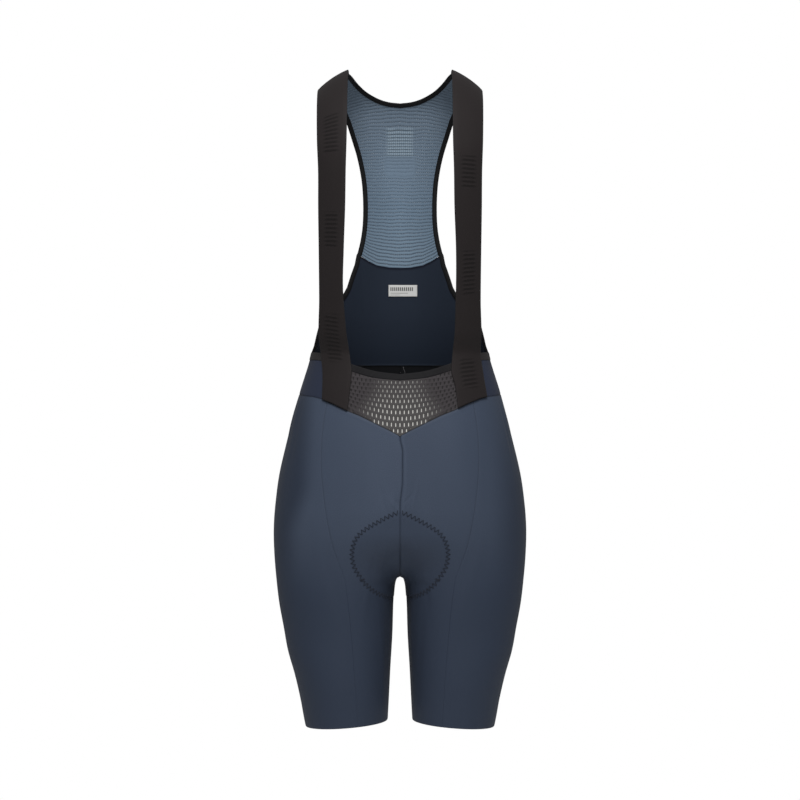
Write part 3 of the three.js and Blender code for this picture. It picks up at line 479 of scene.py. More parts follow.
def tube(name, rings, cloth_at=None, turned=False):
    """A closed tube through rings of points, with a cap at each end; turned swaps its sides."""
    rows, around = rings.shape[:2]
    first, last = range(around), range((rows - 1) * around, rows * around)
    faces = [*ring_faces(rows, around).tolist(), [*first][::-1], [*last]]
    return add_piece(name, rings.reshape(-1, 3), [f[::-1] for f in faces] if turned else faces, cloth_at)


def along_grid(points, axis):
    """The length passed along this axis of the points, from 0."""
    step = np.linalg.norm(np.diff(points, axis=axis), axis=-1)
    start = np.zeros_like(np.take(step, [0], axis=axis))
    return np.cumsum(np.concatenate([start, step], axis=axis), axis=axis)


def grid_shell(name, points, outward, raised, thickness, masks=None, mirrored=False, middle=None):
    """Shell from a grid of surface points [row, column]."""
    rows, columns = points.shape[:2]
    outer = points + outward * np.broadcast_to(raised, (rows, columns))[..., None]
    inner = outer - outward * np.broadcast_to(thickness, (rows, columns))[..., None]
    across, up = along_grid(outer, 1), along_grid(outer, 0)
    middle = columns // 2 if middle is None else middle
    cloth_at = np.stack([across - across[:, middle:middle + 1], up[:, middle:middle + 1] + 0 * up], -1)
    faces = grid_faces(rows, columns)
    if mirrored:
        outer, inner = outer * (-1, 1, 1), inner * (-1, 1, 1)
        faces = faces[:, ::-1]
    masks = {key: np.broadcast_to(value, (rows, columns)).ravel() for key, value in (masks or {}).items()}
    return shell(name, outer.reshape(-1, 3), inner.reshape(-1, 3), faces, cloth_at.reshape(-1, 2), masks)


def crowded(count, ends=0.88):
    """Steps from 0 to 1 that stand closer at both ends, where seams curl."""
    part = np.linspace(0, 1, count + 1)
    return part - ends * np.sin(2 * np.pi * part) / (2 * np.pi)


print("steps of a crowded grid", crowded(6).round(2))

# %% [markdown]
# ## Cloth finishes
# Each finish is built from nodes: a base colour that varies a little, a knit or weave in
# the bump at its real pitch, and soft sheen. Patterns are measured in the UV map's metres.

# %% Node helper


class Finish:
    """A material with short calls for its nodes."""

    def __init__(self, name, colour, roughness, sheen=0.0, specular=0.3):
        self.material = bpy.data.materials.new(name)
        self.material.use_nodes = True
        self.tree = self.material.node_tree
        self.surface = self.tree.nodes["Principled BSDF"]
        self.surface.inputs["Roughness"].default_value = roughness
        self.surface.inputs["Specular IOR Level"].default_value = specular
        self.surface.inputs["Sheen Weight"].default_value = sheen
        self.surface.inputs["Sheen Roughness"].default_value = 0.5
        self.surface.inputs["Base Color"].default_value = (*colour, 1)
        self.colour = None
        self.base = colour
        self.height = None
        self.cloth = self.node("ShaderNodeUVMap", uv_map="cloth").outputs["UV"]
        self.place = self.node("ShaderNodeTexCoord").outputs["Object"]

    def node(self, kind, inputs=None, **settings):
        made = self.tree.nodes.new(kind)
        for key, value in settings.items():
            setattr(made, key, value)
        for key, value in (inputs or {}).items():
            self.feed(made.inputs[key], value)
        return made

    def feed(self, socket, value):
        if isinstance(value, bpy.types.NodeSocket):
            self.tree.links.new(value, socket)
        else:
            socket.default_value = value

    def stretch(self, source, scale):
        return self.node("ShaderNodeMapping", {"Vector": source, "Scale": scale}).outputs["Vector"]

    def math(self, operation, *values):
        made = self.node("ShaderNodeMath", operation=operation)
        for index, value in enumerate(values):
            self.feed(made.inputs[index], value)
        return made.outputs[0]

    def times(self, a, b):
        return self.math("MULTIPLY", a, b)

    def along(self, source, axis):
        return self.node("ShaderNodeSeparateXYZ", {"Vector": source}).outputs[axis]

    def noise(self, source, scale, detail=2.0, rough=0.5):
        return self.node("ShaderNodeTexNoise", {
            "Vector": source, "Scale": scale, "Detail": detail, "Roughness": rough}).outputs["Fac"]

    def ramp(self, source, low, high, to_low=0.0, to_high=1.0):
        made = self.node("ShaderNodeMapRange", {
            "Value": source, "From Min": low, "From Max": high, "To Min": to_low, "To Max": to_high})
        return made.outputs["Result"]

    def stripes(self, source, pitch, axis="X", sharp=1.0):
        """Waves of this pitch in metres, from 0 to 1."""
        turns = self.times(self.along(source, axis), 2 * np.pi / pitch)
        wave = self.math("MULTIPLY_ADD", self.math("SINE", turns), 0.5, 0.5)
        return wave if sharp == 1.0 else self.math("POWER", wave, sharp)

    def tint(self, mask, colour):
        """Mixes the colour so far to this one by the mask."""
        made = self.node("ShaderNodeMix", {"Factor": mask}, data_type="RGBA")
        start = self.colour if self.colour is not None else (*self.base, 1)
        self.feed(made.inputs[6], start)
        self.feed(made.inputs[7], (*colour, 1))
        self.colour = made.outputs[2]

    def relief(self, height, depth):
        """Adds a bump of this depth in metres."""
        made = self.node("ShaderNodeBump", {"Strength": 1.0, "Distance": depth, "Height": height})
        if self.height is not None:
            self.feed(made.inputs["Normal"], self.height)
        self.height = made.outputs["Normal"]

    def attribute(self, name):
        return self.node("ShaderNodeAttribute", attribute_name=name).outputs["Fac"]

    def done(self):
        if self.colour is not None:
            self.feed(self.surface.inputs["Base Color"], self.colour)
        if self.height is not None:
            self.feed(self.surface.inputs["Normal"], self.height)
        return self.material


def shade(colour, factor):
    return tuple(min(channel * factor, 1.0) for channel in colour)


print("a darker white", shade((1.0, 1.0, 1.0), 0.8))

# %% [markdown]
# The leg jersey is a tight warp knit in dark blue: very fine wales, a soft satin face and a
# darker, flatter inside, made nearly black as painted shade inside the shorts. At arm's length
# only broad tonal streaks and a little grain show.

# %% Jersey and yoke finishes
JERSEY = (0.0248, 0.0352, 0.0590)
# The second colour is painted light: the jersey where light falls on the belly, beside the centre front seam
# and at the fork.
PAINTED_HIGHLIGHT = (0.0675, 0.0885, 0.1320)


def knit(name, colour, roughness, sheen, wale=0.0007, course=0.0006, specular=0.2, highlight_colour=None):
    f = Finish(name, colour, roughness, sheen, specular)
    # painted highlight where the mask says light falls
    if highlight_colour:
        f.tint(f.attribute("stretched"), highlight_colour)
    wales, courses = f.stripes(f.cloth, wale, "X"), f.stripes(f.cloth, course, "Y")
    grain = f.noise(f.cloth, 900, 3, 0.6)
    broad = f.noise(f.stretch(f.place, (9, 9, 2.2)), 1.0, 3, 0.5)
    long = f.noise(f.stretch(f.cloth, (110, 9, 1)), 1.0, 2, 0.5)
    f.tint(f.ramp(broad, 0.35, 0.65, 0.0, 0.30), shade(colour, 1.22))
    f.tint(f.ramp(grain, 0.3, 0.7, 0.0, 0.45), shade(colour, 0.80))
    f.tint(f.times(f.times(wales, courses), 0.25), shade(colour, 1.5))
    # painted shade in the seams, under the yoke seam and on the inner thigh
    f.tint(f.attribute("seam"), shade(colour, 0.25))
    f.relief(f.math("ADD", f.times(wales, 0.6), f.times(courses, 0.4)), 0.00006)
    f.relief(long, 0.00010)
    return f


jersey = knit("leg jersey", JERSEY, 0.56, 0.03, highlight_colour=PAINTED_HIGHLIGHT).done()
# the darker inside, made nearly black as painted shade
inside_with_painted_shade = knit("leg jersey inside", (0.0065, 0.0072, 0.0088), 0.8, 0.02, specular=0.15).done()
yoke_cloth = knit("yoke jersey", (0.0215, 0.0285, 0.0520), 0.62, 0.03).done()
back_inside = knit("lower back inside", (0.0125, 0.0190, 0.0325), 0.75, 0.03, specular=0.15)
# painted shade: nearly black low inside, and dark along the net's seam
back_inside.tint(back_inside.attribute("facing"), (0.0050, 0.0052, 0.0060))
back_inside.tint(back_inside.attribute("sewn"), (0.0022, 0.0034, 0.0110))
back_inside = back_inside.done()
print("knits:", jersey.name, yoke_cloth.name, back_inside.name)

# %% [markdown]
# Strap and band are woven elastic: cords of rubber run lengthwise, so the face has fine
# ribs across which light breaks. The strap also has slanted bars woven in tone on tone, in
# groups down its length.

# %% Elastic finishes
ELASTIC = (0.0172, 0.0139, 0.0141)
BAR_PITCH = 0.0056


def elastic(name, colour, rib, bars=False, along="X", at_sides=None):
    f = Finish(name, colour, 0.62, 0.03, 0.15)
    across = "Y" if along == "X" else "X"
    ribs, picks = f.stripes(f.cloth, rib, along, 1.5), f.stripes(f.cloth, 0.0009, across)
    grain = f.noise(f.cloth, 700, 3, 0.6)
    if at_sides:
        f.tint(f.ramp(f.math("ABSOLUTE", f.along(f.place, "X")), 0.055, 0.105), at_sides)
    f.tint(f.ramp(grain, 0.3, 0.7, 0.0, 0.5), shade(colour, 0.75))
    f.tint(f.times(ribs, 0.35), shade(colour, 1.45))
    f.relief(f.math("ADD", f.times(ribs, 0.75), f.times(picks, 0.25)), 0.00012)
    if bars:
        slanted = f.math("MULTIPLY_ADD", f.along(f.cloth, "X"), 0.18, f.along(f.cloth, "Y"))
        bar = f.math("SINE", f.times(slanted, 2 * np.pi / BAR_PITCH))
        mask = f.times(f.ramp(bar, -0.2, 0.2), f.attribute("woven_block"))
        f.tint(f.times(mask, 0.8), shade(colour, 0.42))
        f.relief(mask, 0.0003)
    return f.done()


strap_cloth = elastic("strap elastic", ELASTIC, 0.0016, bars=True)
band_cloth = elastic("band elastic", (0.0068, 0.0065, 0.0078), 0.0015, along="Y",
                     at_sides=(0.0380, 0.0350, 0.0355))
binding_cloth = elastic("binding tape", (0.0042, 0.0042, 0.0050), 0.0011)
print("elastics:", strap_cloth.name, band_cloth.name, binding_cloth.name)

# %% [markdown]
# The nets, the label, the pad and the thread. The net on the back is steel blue yarn, made
# lighter to stand in for light shining through it from behind, and white shows through its
# small holes. The front net is charcoal with a pale yarn behind its slots, and both carry
# painted light, brightest low in the middle. The satin label has plain woven bars.

# %% Net, label, pad and thread finishes


def yarn(name, colour, roughness, grain_scale=1500, sheen=0.04):
    f = Finish(name, colour, roughness, sheen, 0.2)
    grain = f.noise(f.place, grain_scale, 3, 0.6)
    broad = f.noise(f.stretch(f.place, (14, 14, 6)), 1.0, 2, 0.5)
    f.tint(f.ramp(grain, 0.3, 0.7, 0.0, 0.6), shade(colour, 0.72))
    f.tint(f.ramp(broad, 0.35, 0.65, 0.0, 0.35), shade(colour, 1.18))
    f.relief(grain, 0.00012)
    return f


# the yarn's colour, made lighter to stand in for light shining through the net from behind
BACK_NET_AND_BACKLIGHT = (0.129, 0.188, 0.257)


def back_net_finish():
    """Painted shade in the furrows and painted highlight on the crests follow the ribs; the patch is paler
    and dotted.
    """
    f = yarn("back net yarn", BACK_NET_AND_BACKLIGHT, 0.7)
    patch, up = f.attribute("patch"), f.along(f.place, "Z")
    wave = f.math("COSINE", f.times(f.attribute("rib"), 2 * np.pi))
    furrow_shade = f.math("POWER", f.math("MULTIPLY_ADD", wave, 0.5, 0.5), 3)
    crest_highlight = f.math("SUBTRACT", 1.0, furrow_shade)
    f.tint(f.ramp(up, -0.17, -0.05, 0.0, 0.8), (0.125, 0.165, 0.215))
    f.tint(f.times(patch, 0.35), (0.20, 0.27, 0.34))
    f.tint(f.times(f.times(f.stripes(f.cloth, 0.00275), patch), 0.6), (0.30, 0.38, 0.44))
    depth = f.math("MULTIPLY_ADD", patch, 0.5, f.ramp(up, -0.24, -0.13, 0.95, 0.5))
    depth = f.times(depth, f.math("SUBTRACT", 1.0, f.attribute("plain")))
    f.tint(f.times(f.ramp(up, -0.24, -0.16, 0.45, 0.0), crest_highlight), (0.190, 0.265, 0.340))
    f.tint(f.times(furrow_shade, depth), shade(BACK_NET_AND_BACKLIGHT, 0.38))
    return f.done()


back_net = back_net_finish()
front_net = yarn("front net yarn", (0.043, 0.038, 0.041), 0.75)
# painted light: the net's yarn lighter low in the middle
front_net.tint(front_net.times(front_net.attribute("pale"), 0.6), (0.090, 0.088, 0.086))
front_net = front_net.done()
backing = yarn("pale yarn behind the slots", (0.020, 0.019, 0.019), 0.85)
# painted light on the pale yarn, brightest low in the middle
backing.tint(backing.attribute("pale"), (0.62, 0.61, 0.58))
backing = backing.done()
thread = yarn("sewing thread", (0.0150, 0.0188, 0.0295), 0.7, 2500).done()
pale_thread = yarn("pale thread", (0.16, 0.16, 0.17), 0.6, 2500).done()

LABEL_LEFT, LABEL_EDGE = 0.020, 0.0027
LABEL_BARS = [  # bottom, top, end, pitch and grey of each row of bars
    (0.0078, 0.0130, 0.0350, 0.0027, 0.06), (0.0040, 0.0054, 0.0270, 0.0011, 0.22),
    (0.0017, 0.0028, 0.0160, 0.0011, 0.26)]


def label_finish():
    f = Finish("woven label", (0.66, 0.66, 0.645), 0.6, 0.02, 0.2)
    satin = f.stripes(f.cloth, 0.0005, "Y")
    f.tint(f.times(satin, 0.25), (0.54, 0.54, 0.52))
    from_left, up = f.math("SUBTRACT", LABEL_LEFT, f.along(f.cloth, "X")), f.along(f.cloth, "Y")
    for bottom, top, end, pitch, grey in LABEL_BARS:
        inside = f.math("COMPARE", up, (bottom + top) / 2, (top - bottom) / 2)
        along = f.math("COMPARE", from_left, (LABEL_EDGE + end) / 2, (end - LABEL_EDGE) / 2)
        bars = f.ramp(f.math("SINE", f.times(from_left, 2 * np.pi / pitch)), -0.5, 0.1)
        f.tint(f.times(f.times(inside, along), bars), (grey, grey, grey * 0.97))
    f.relief(satin, 0.00008)
    return f.done()


label_cloth = label_finish()
pad_cloth = knit("pad fleece", (0.0105, 0.0120, 0.0160), 0.85, 0.25, wale=0.0012, course=0.0012).done()
print("finishes:", len(bpy.data.materials))


def dress(piece, node, slot_name, *finishes):
    for finish in finishes:
        piece.data.materials.append(finish)
    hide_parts(node)
    return piece


def cloth_area(piece):
    """Half of a closed shell's surface, in square metres."""
    return sum(polygon.area for polygon in piece.data.polygons) / 2


# %% [markdown]
# ## Legs and seat
# Six panels: front, side and back on each leg. Tight jersey has hardly a fold, so what
# makes it cloth is small: edges that curl into their seams, drag lines that start at the
# hip and the fork, and the pad that presses through. The creases are in one table, by
# turn and height, and each side has its own. They could be simulated, but stretched
# jersey holds its shape, and placed one by one they stay where the photograph has them.

# %% Creases and panel relief
CREASES = {
    "left": [
        # turn, height, length, width, slope, rise
        (0.006, -137, 5, 2.0, 0.6, 0.50), (0.014, -132, 8, 1.8, 0.9, -0.45),
        (0.385, -30, 40, 3.0, 0.05, -0.35), (0.415, -20, 34, 2.4, 0.02, 0.45),
        (0.445, -36, 46, 3.2, -0.03, -0.40), (0.475, -14, 30, 2.4, -0.06, 0.15),
        (0.36, -58, 44, 4.0, 0.08, 0.30), (0.50, -60, 60, 5.0, -0.05, -0.30),
        (0.020, -150, 26, 3.0, 0.12, -0.45), (0.035, -128, 22, 3.4, 0.25, 0.35),
        (0.055, -205, 24, 3.0, -0.50, -0.45), (0.075, -222, 30, 3.4, -0.70, 0.40),
        (0.10, -250, 40, 4.0, -0.30, -0.35), (0.055, -300, 90, 6.0, -0.02, 0.30),
        (0.10, -330, 80, 7.0, 0.0, -0.28), (0.20, -250, 90, 9.0, 0.05, 0.25),
        (0.90, -190, 42, 5.0, 0.35, -0.90), (0.87, -205, 46, 5.0, 0.45, 0.60),
        (0.94, -228, 34, 4.0, 0.60, -0.80), (0.955, -205, 26, 3.4, 0.45, 0.60),
        (0.80, -262, 60, 7.0, 0.10, -0.40), (0.72, -120, 70, 9.0, 0.06, 0.35),
        (0.60, -60, 60, 6.0, -0.05, -0.35), (0.64, -30, 50, 5.0, -0.04, 0.35)],
    "right": [
        (0.007, -135, 6, 2.0, 0.5, -0.50), (0.015, -139, 7, 1.8, 0.8, 0.45),
        (0.380, -26, 44, 3.0, 0.03, 0.45), (0.408, -34, 50, 2.6, 0.02, -0.45),
        (0.438, -22, 36, 3.0, -0.02, 0.30), (0.466, -30, 40, 2.6, -0.05, -0.20),
        (0.35, -70, 52, 4.4, 0.06, -0.28), (0.49, -66, 54, 5.0, -0.04, 0.30),
        (0.016, -146, 20, 2.6, 0.10, 0.35), (0.040, -136, 24, 3.4, 0.30, -0.35),
        (0.050, -210, 26, 3.2, -0.55, 0.40), (0.080, -216, 34, 3.4, -0.65, -0.45),
        (0.115, -244, 44, 4.4, -0.28, 0.35), (0.060, -290, 80, 6.0, -0.02, -0.30),
        (0.09, -345, 70, 7.0, 0.0, 0.28), (0.19, -270, 96, 9.0, 0.04, -0.25),
        (0.89, -184, 46, 5.0, 0.38, -0.80), (0.86, -210, 50, 5.4, 0.42, 0.55),
        (0.935, -222, 32, 4.0, 0.55, -0.75), (0.952, -198, 28, 3.4, 0.40, 0.55),
        (0.79, -255, 64, 7.0, 0.12, -0.35), (0.73, -130, 64, 9.0, 0.05, 0.35),
        (0.59, -54, 56, 6.0, -0.05, 0.30), (0.63, -36, 52, 5.0, -0.03, -0.35)],
}
ROUND_MM, CREASE_STRENGTH = 560.0, 1.7


def creases(side, height, turn):
    """Soft ridges and troughs, each with its length, width, slope and rise in mm."""
    raised = np.zeros(np.broadcast(height, turn).shape)
    for at_turn, at_height, length, width, slope, rise in CREASES[side]:
        along = height - at_height
        across = (turn - at_turn) * ROUND_MM - slope * along
        raised = raised + rise * np.exp(-(across / width) ** 2 - (along / length) ** 2)
    return CREASE_STRENGTH * raised


def seam_curl(distance, depth, width=1.3):
    """An edge rolls inwards to its seam: depth mm at the seam, gone a few mm away."""
    return -depth * np.exp(-np.maximum(distance, 0) / width)


def centre_depth(height):
    """Edges curl most at the belly, less along the leg, and hardly at the fork."""
    above = soft_step(height, FORK_HEIGHT + 4, FORK_HEIGHT + 24)
    over_pad = 1 - soft_step(height, -152, -138)
    return (0.35 + 0.65 * above) * (1 - 0.45 * over_pad) - 0.3 * np.exp(-((height - FORK_HEIGHT) / 6) ** 2)


print("creases:", {side: len(rows) for side, rows in CREASES.items()})

# %% [markdown]
# The pad is sewn in, so its outline shows on the outside as a zigzag of thread in a shallow
# groove, and inside the outline the jersey stands a little prouder. One function gives the
# share of the way from the fork to that outline.

# %% Where the pad lies


def pad_share(height, turn, point):
    rise, out = height - FORK_HEIGHT, np.maximum(np.abs(point[..., 0]) - leg_space(height), 0)
    angle = np.degrees(np.arctan2(out, rise))
    front, back = (smooth(PAD_REACH, angle, name) for name in ("front", "back"))
    return np.hypot(rise, out) / np.where(turn < 0.5, front, back)


def jersey_relief(side, height, turn, point):
    """Creases, flatter over the pad, with the groove of the pad's outline, in mm."""
    share = pad_share(height, turn, point)
    groove = -0.15 * np.exp(-((share - 1) * 85.0 / 3.0) ** 2)
    over_pad = 1 - 0.6 * (1 - soft_step(share, 1.0, 1.15))
    return creases(side, height, turn) * over_pad + groove + 0.45 * (1 - soft_step(share, 0.9, 1.0))


def painted_highlight_share(side, height, turn, point):
    """Painted highlight: light on the belly outside the pad, more on the right side, and painted light at the
    fork against its shade.
    """
    x, above_fork = np.abs(point[..., 0]), height - FORK_HEIGHT
    lower = 22 * soft_step(-height, 105, 185)
    aside = 1 - (soft_step(x, 114, 164) if side == "left" else soft_step(x, 107 + lower, 138 + lower))
    front = 1 - soft_step(turn, 0.40, 0.52)
    outside = np.where(turn < 0.5, mix(0.52, 1, soft_step(pad_share(height, turn, point), 0.985, 1.02)), 1)
    belly_highlight = (0.8 if side == "left" else 1.0) * soft_step(height, -275, -135) * aside * front * outside
    fork_fill_light = 0.46 * np.exp(-(x / 21) ** 2 - ((above_fork - 18) / 30) ** 2)
    return np.maximum(belly_highlight, fork_fill_light)


def yoke_height(turn):
    near = np.where(turn > 1, 2 - turn, np.abs(turn))
    return straight(YOKE_SEAM, near, "height")


def shorts_height(turn, up):
    hem = -434.3 + 4.3 * np.cos(2 * np.pi * turn)
    low = mix(hem, FORK_HEIGHT, np.minimum(up * 2, 1))
    return np.where(up <= 0.5, low, mix(FORK_HEIGHT, yoke_height(turn), up * 2 - 1))


print("yoke seam at the side", round(float(yoke_height(0.5)), 1), "mm")

# %% [markdown]
# Rows of a panel run from the hem to the yoke seam. They stand closest at the hem, at the
# fork and at the yoke seam, where the shape turns quickly.

# %% Rows and seams of the panels
PANEL_THICKNESS = 1.2
LEG_SPACING = table("up step", [
    (0, 0.0008), (0.02, 0.006), (0.34, 0.006), (0.41, 0.003), (0.49, 0.0022), (0.5, 0.0007)])
SEAT_SPACING = table("up step", [
    (0.5, 0.0007), (0.51, 0.0026), (0.72, 0.0026), (0.76, 0.005), (0.96, 0.005), (1, 0.0008)])


def spaced(spacing):
    """Steps between the first and last place of the table, as far apart as it says."""
    fine = np.linspace(spacing["up"][0], spacing["up"][-1], 4001)
    passed = np.cumsum(np.append(0, np.diff(fine) / np.interp(fine[1:], spacing["up"], spacing["step"])))
    return np.interp(np.linspace(0, passed[-1], int(passed[-1]) + 1), passed, fine)


PANEL_ROWS = np.concatenate([spaced(LEG_SPACING), spaced(SEAT_SPACING)[1:]])


def seam_turn(seam, up):
    if not isinstance(seam, str):
        return np.full(up.shape, float(seam))
    height = shorts_height(np.full(up.shape, 0.3), up)
    return turn_at_x(height, smooth(LONG_SEAMS, height, seam), seam == "frontSide")


print("rows of a panel:", len(PANEL_ROWS))

# %% [markdown]
# The edges of knitted cloth curl where they are sewn, and the seam itself lies in shadow.
# One function says how far the cloth rises, another where shade is painted: in the seams,
# under the yoke seam and on the inner thigh. A displacement texture could do both, but then
# the mesh itself would stay flat.

# %% Build the six panels


def panel_relief(side, height, turn, point, seams, across, rise):
    """Rise of the cloth in mm: it curls into its seams and hem, and bears the creases."""
    to_top, to_end = rise[-1:, :] - rise, across[:, -1:] - across
    raised = 0
    for distance, (place, deep, width) in zip((across, to_end), seams):
        along = centre_depth(height) if place in (0, 1) else 1 - 0.9 * soft_step(-height, 190, 240)
        raised = raised + along * seam_curl(distance, deep, width)
    by_mesh = 1 - soft_step(turn, 0.14, 0.30)
    raised = raised + seam_curl(to_top, 0.8, 1.1) + 0.15 * by_mesh * np.exp(-((to_top - 4) / 2.2) ** 2)
    raised = raised - 0.35 * np.exp(-rise / 0.8)
    return raised + jersey_relief(side, height, turn, point) * soft_step(to_top, 0, 8)


def painted_seam_shade(height, point, seams, across, rise):
    """Painted shade: darker in the seams, under the yoke seam, and on the inner thigh, which faces away from
    the light.
    """
    seen = 1 - soft_step(-height, 190, 240)
    start, end = (0.32 if place in (0, 1) else 0.14 * seen for place, _, _ in seams)
    dark = start * np.exp(-across / 0.7) + end * np.exp(-(across[:, -1:] - across) / 0.7)
    dark = dark + 0.9 * np.exp(-(rise[-1:, :] - rise) / 0.9)
    inner_thigh_shade = (1 - soft_step(np.abs(point[..., 0]), 14, 62)) * soft_step(-height, 215, 262)
    return np.minimum(dark + 0.13 * inner_thigh_shade, 1)


def shorts_panel(kind, side, columns, *seams):
    """seams holds each long seam's place, and the depth and width in mm of the curl there."""
    start, end = (seam_turn(place, PANEL_ROWS) for place, _, _ in seams)
    turn = mix(start[:, None], end[:, None], crowded(columns, 0.7)[None, :])
    height = shorts_height(turn, PANEL_ROWS[:, None] + 0 * turn)
    point, outward = shorts_point(height, turn), shorts_outward(height, turn)
    across, rise = along_grid(point, 1), along_grid(point, 0)
    raised = panel_relief(side, height, turn, point, seams, across, rise)
    if kind == "front":
        sway = 3.2 * soft_step(-height, 50, 68) * (1 - soft_step(-height, 105, 140))
        point[..., 0] += (1 if side == "left" else -1) * sway * np.exp(-(point[..., 0] / 30) ** 2)
    stretched = painted_highlight_share(side, height, turn, point)
    if kind == "front" and side == "left":
        ridge = mix(0.3, 0.55, soft_step(height, -142, -128)) * soft_step(height, -225, -210)
        raised = raised + ridge * np.exp(-((across - 2.6) / 1.2) ** 2)
        # painted highlight in a strip beside the centre front seam
        seam_side_highlight = 0.25 * soft_step(height, -150, -140) * np.exp(-((across - 3.2) / 2.6) ** 2)
        stretched = np.minimum(stretched + seam_side_highlight, 1)
    masks = {"seam": painted_seam_shade(height, point, seams, across, rise), "stretched": stretched}
    piece = grid_shell(f"{kind}_panel_{side}_jersey", point, outward, raised, PANEL_THICKNESS, masks,
                       mirrored=side == "right")
    return dress(piece, f"{kind}_panel_{side}", "jersey", jersey, inside_with_painted_shade)


panels = []
for side in ("left", "right"):
    panels.append(shorts_panel("front", side, 76, (0, 1.4, 1.3), ("frontSide", 0.32, 0.9)))
    panels.append(shorts_panel("side", side, 72, ("frontSide", 0.28, 0.9), ("outerBack", 0.28, 0.9)))
    panels.append(shorts_panel("back", side, 56, ("outerBack", 0.28, 0.9), (1, 0.9, 1.4)))
for panel in panels:
    print(panel.name, len(panel.data.polygons), "faces", round(cloth_area(panel), 4), "m2")

# %% [markdown]
# ## Waist: yokes, lower back, band
# Hip yokes and lower back are smooth jersey between the leg panels and the mesh. The band
# is a 9 mm elastic tape. All are strips between two heights round the body.

# %% Build the waist pieces


def strip(name, turns, low, high, rows, raised_at, thickness, mirrored=False, masks_at=None):
    """Cloth between two heights, low(turn) and high(turn); raised_at takes the way up from low."""
    turns, up = np.broadcast_arrays(turns, np.asarray(rows)[:, None])
    bottom, top = low(turns), high(turns)

    def point_at(turn, up_part):
        return body_point(mix(low(turn), high(turn), up_part), turn)

    point = body_point(mix(bottom, top, up), turns)
    outward = outward_of(point_at, turns, np.clip(up, 0.02, 0.98), 0.002, 0.02)
    masks = masks_at(point) if masks_at else None
    return grid_shell(name, point, outward, raised_at(along_grid(point, 0)), thickness, masks, mirrored)


def band_low(turn):
    return smooth(BAND_EDGES, np.abs(turn), "low")


def band_top(turn):
    return smooth(BAND_EDGES, np.abs(turn), "top")


def yoke_relief(rise):
    return seam_curl(rise, 0.7, 1.0) + seam_curl(rise[-1:, :] - rise, 0.4, 0.8) - 0.15


JOINT_TURNS = (0.203, 0.232)  # where yoke and front mesh join, behind the strap: low, high
for side in ("left", "right"):
    rows = crowded(26)
    joint = mix(JOINT_TURNS[0], JOINT_TURNS[1], rows)[:, None]
    yoke = strip(f"hip_yoke_{side}_jersey", mix(joint, 0.5, crowded(44, 0.6)[None, :]), yoke_height,
                 band_low, rows, yoke_relief, PANEL_THICKNESS, mirrored=side == "right")
    dress(yoke, f"hip_yoke_{side}", "yoke", yoke_cloth, inside_with_painted_shade)


BACK_CORNER_TURN = 0.866


def lower_back_top(turn):
    near = np.where(turn > 1, 2 - turn, turn)
    return np.where(near > BACK_CORNER_TURN, straight(MESH_SEAM, near, "height") + 0.1,
                    straight(LOWER_BACK_TOP, near, "height"))


half_turns = np.unique(np.concatenate([LOWER_BACK_TOP["turn"], MESH_SEAM["turn"],
                                       np.linspace(0.5, 1, 60)]))
half_turns[0] = 0.5004
back_turns = np.concatenate([half_turns, 2 - half_turns[-2::-1]])[None, :]


def lower_back_masks(point):
    """Painted shade: nearly black low inside, and dark along the line where the net is sewn on."""
    height = point[..., 2]
    return {"facing": 1 - soft_step(height, 47.9, 48.6), "sewn": np.exp(-((height[-1:] - height) / 3.2) ** 4)}


lower_back = strip("lower_back_jersey", back_turns, yoke_height, lower_back_top, crowded(40),
                   lambda rise: seam_curl(rise, 0.7, 1.0), PANEL_THICKNESS, masks_at=lower_back_masks)
dress(lower_back, "lower_back", "yoke", yoke_cloth, back_inside)


def band_relief(rise):
    return 0.5 - 0.5 * np.exp(-rise / 0.4) - 0.4 * np.exp(-(rise[-1:, :] - rise) / 0.35)


front_band = strip("front_band_elastic", np.linspace(-0.5003, 0.5003, 181)[None, :], band_low, band_top,
                   crowded(12, 0.5), band_relief, PANEL_THICKNESS + 0.4)
dress(front_band, "front_band", "elastic", band_cloth, band_cloth)
print("band", round(cloth_area(front_band), 5), "lower back", round(cloth_area(lower_back), 4))

# %% [markdown]
# ## Nets cut from regular cloth
# A net is knitted with straight rows and then cut to shape, so its rows must not bend with
# the cut edge. We lay out a regular net, pull the points beyond the cut edge back onto it,
# drop what has no area left, and leave the cells of the holes open. A texture with
# transparency would be lighter, but real holes look right from every side.

# %% Net builder


def split_touching(faces, count):
    """Faces that meet only at a point get a point each. Returns the points to copy."""
    using = [[] for _ in range(count)]
    for index, face in enumerate(faces):
        for v in face:
            using[v].append(index)
    copied = []
    for v, mine in enumerate(using):
        fans = []
        for index in mine:
            k = faces[index].index(v)
            near = {faces[index][k - 1], faces[index][(k + 1) % len(faces[index])]}
            joined = [fan for fan in fans if fan[1] & near]
            fans = [fan for fan in fans if not fan[1] & near]
            members = [index] + [other for fan in joined for other in fan[0]]
            fans.append((members, near.union(*(fan[1] for fan in joined))))
        for members, _ in fans[1:]:
            for index in members:
                faces[index][faces[index].index(v)] = count + len(copied)
            copied.append(v)
    return copied


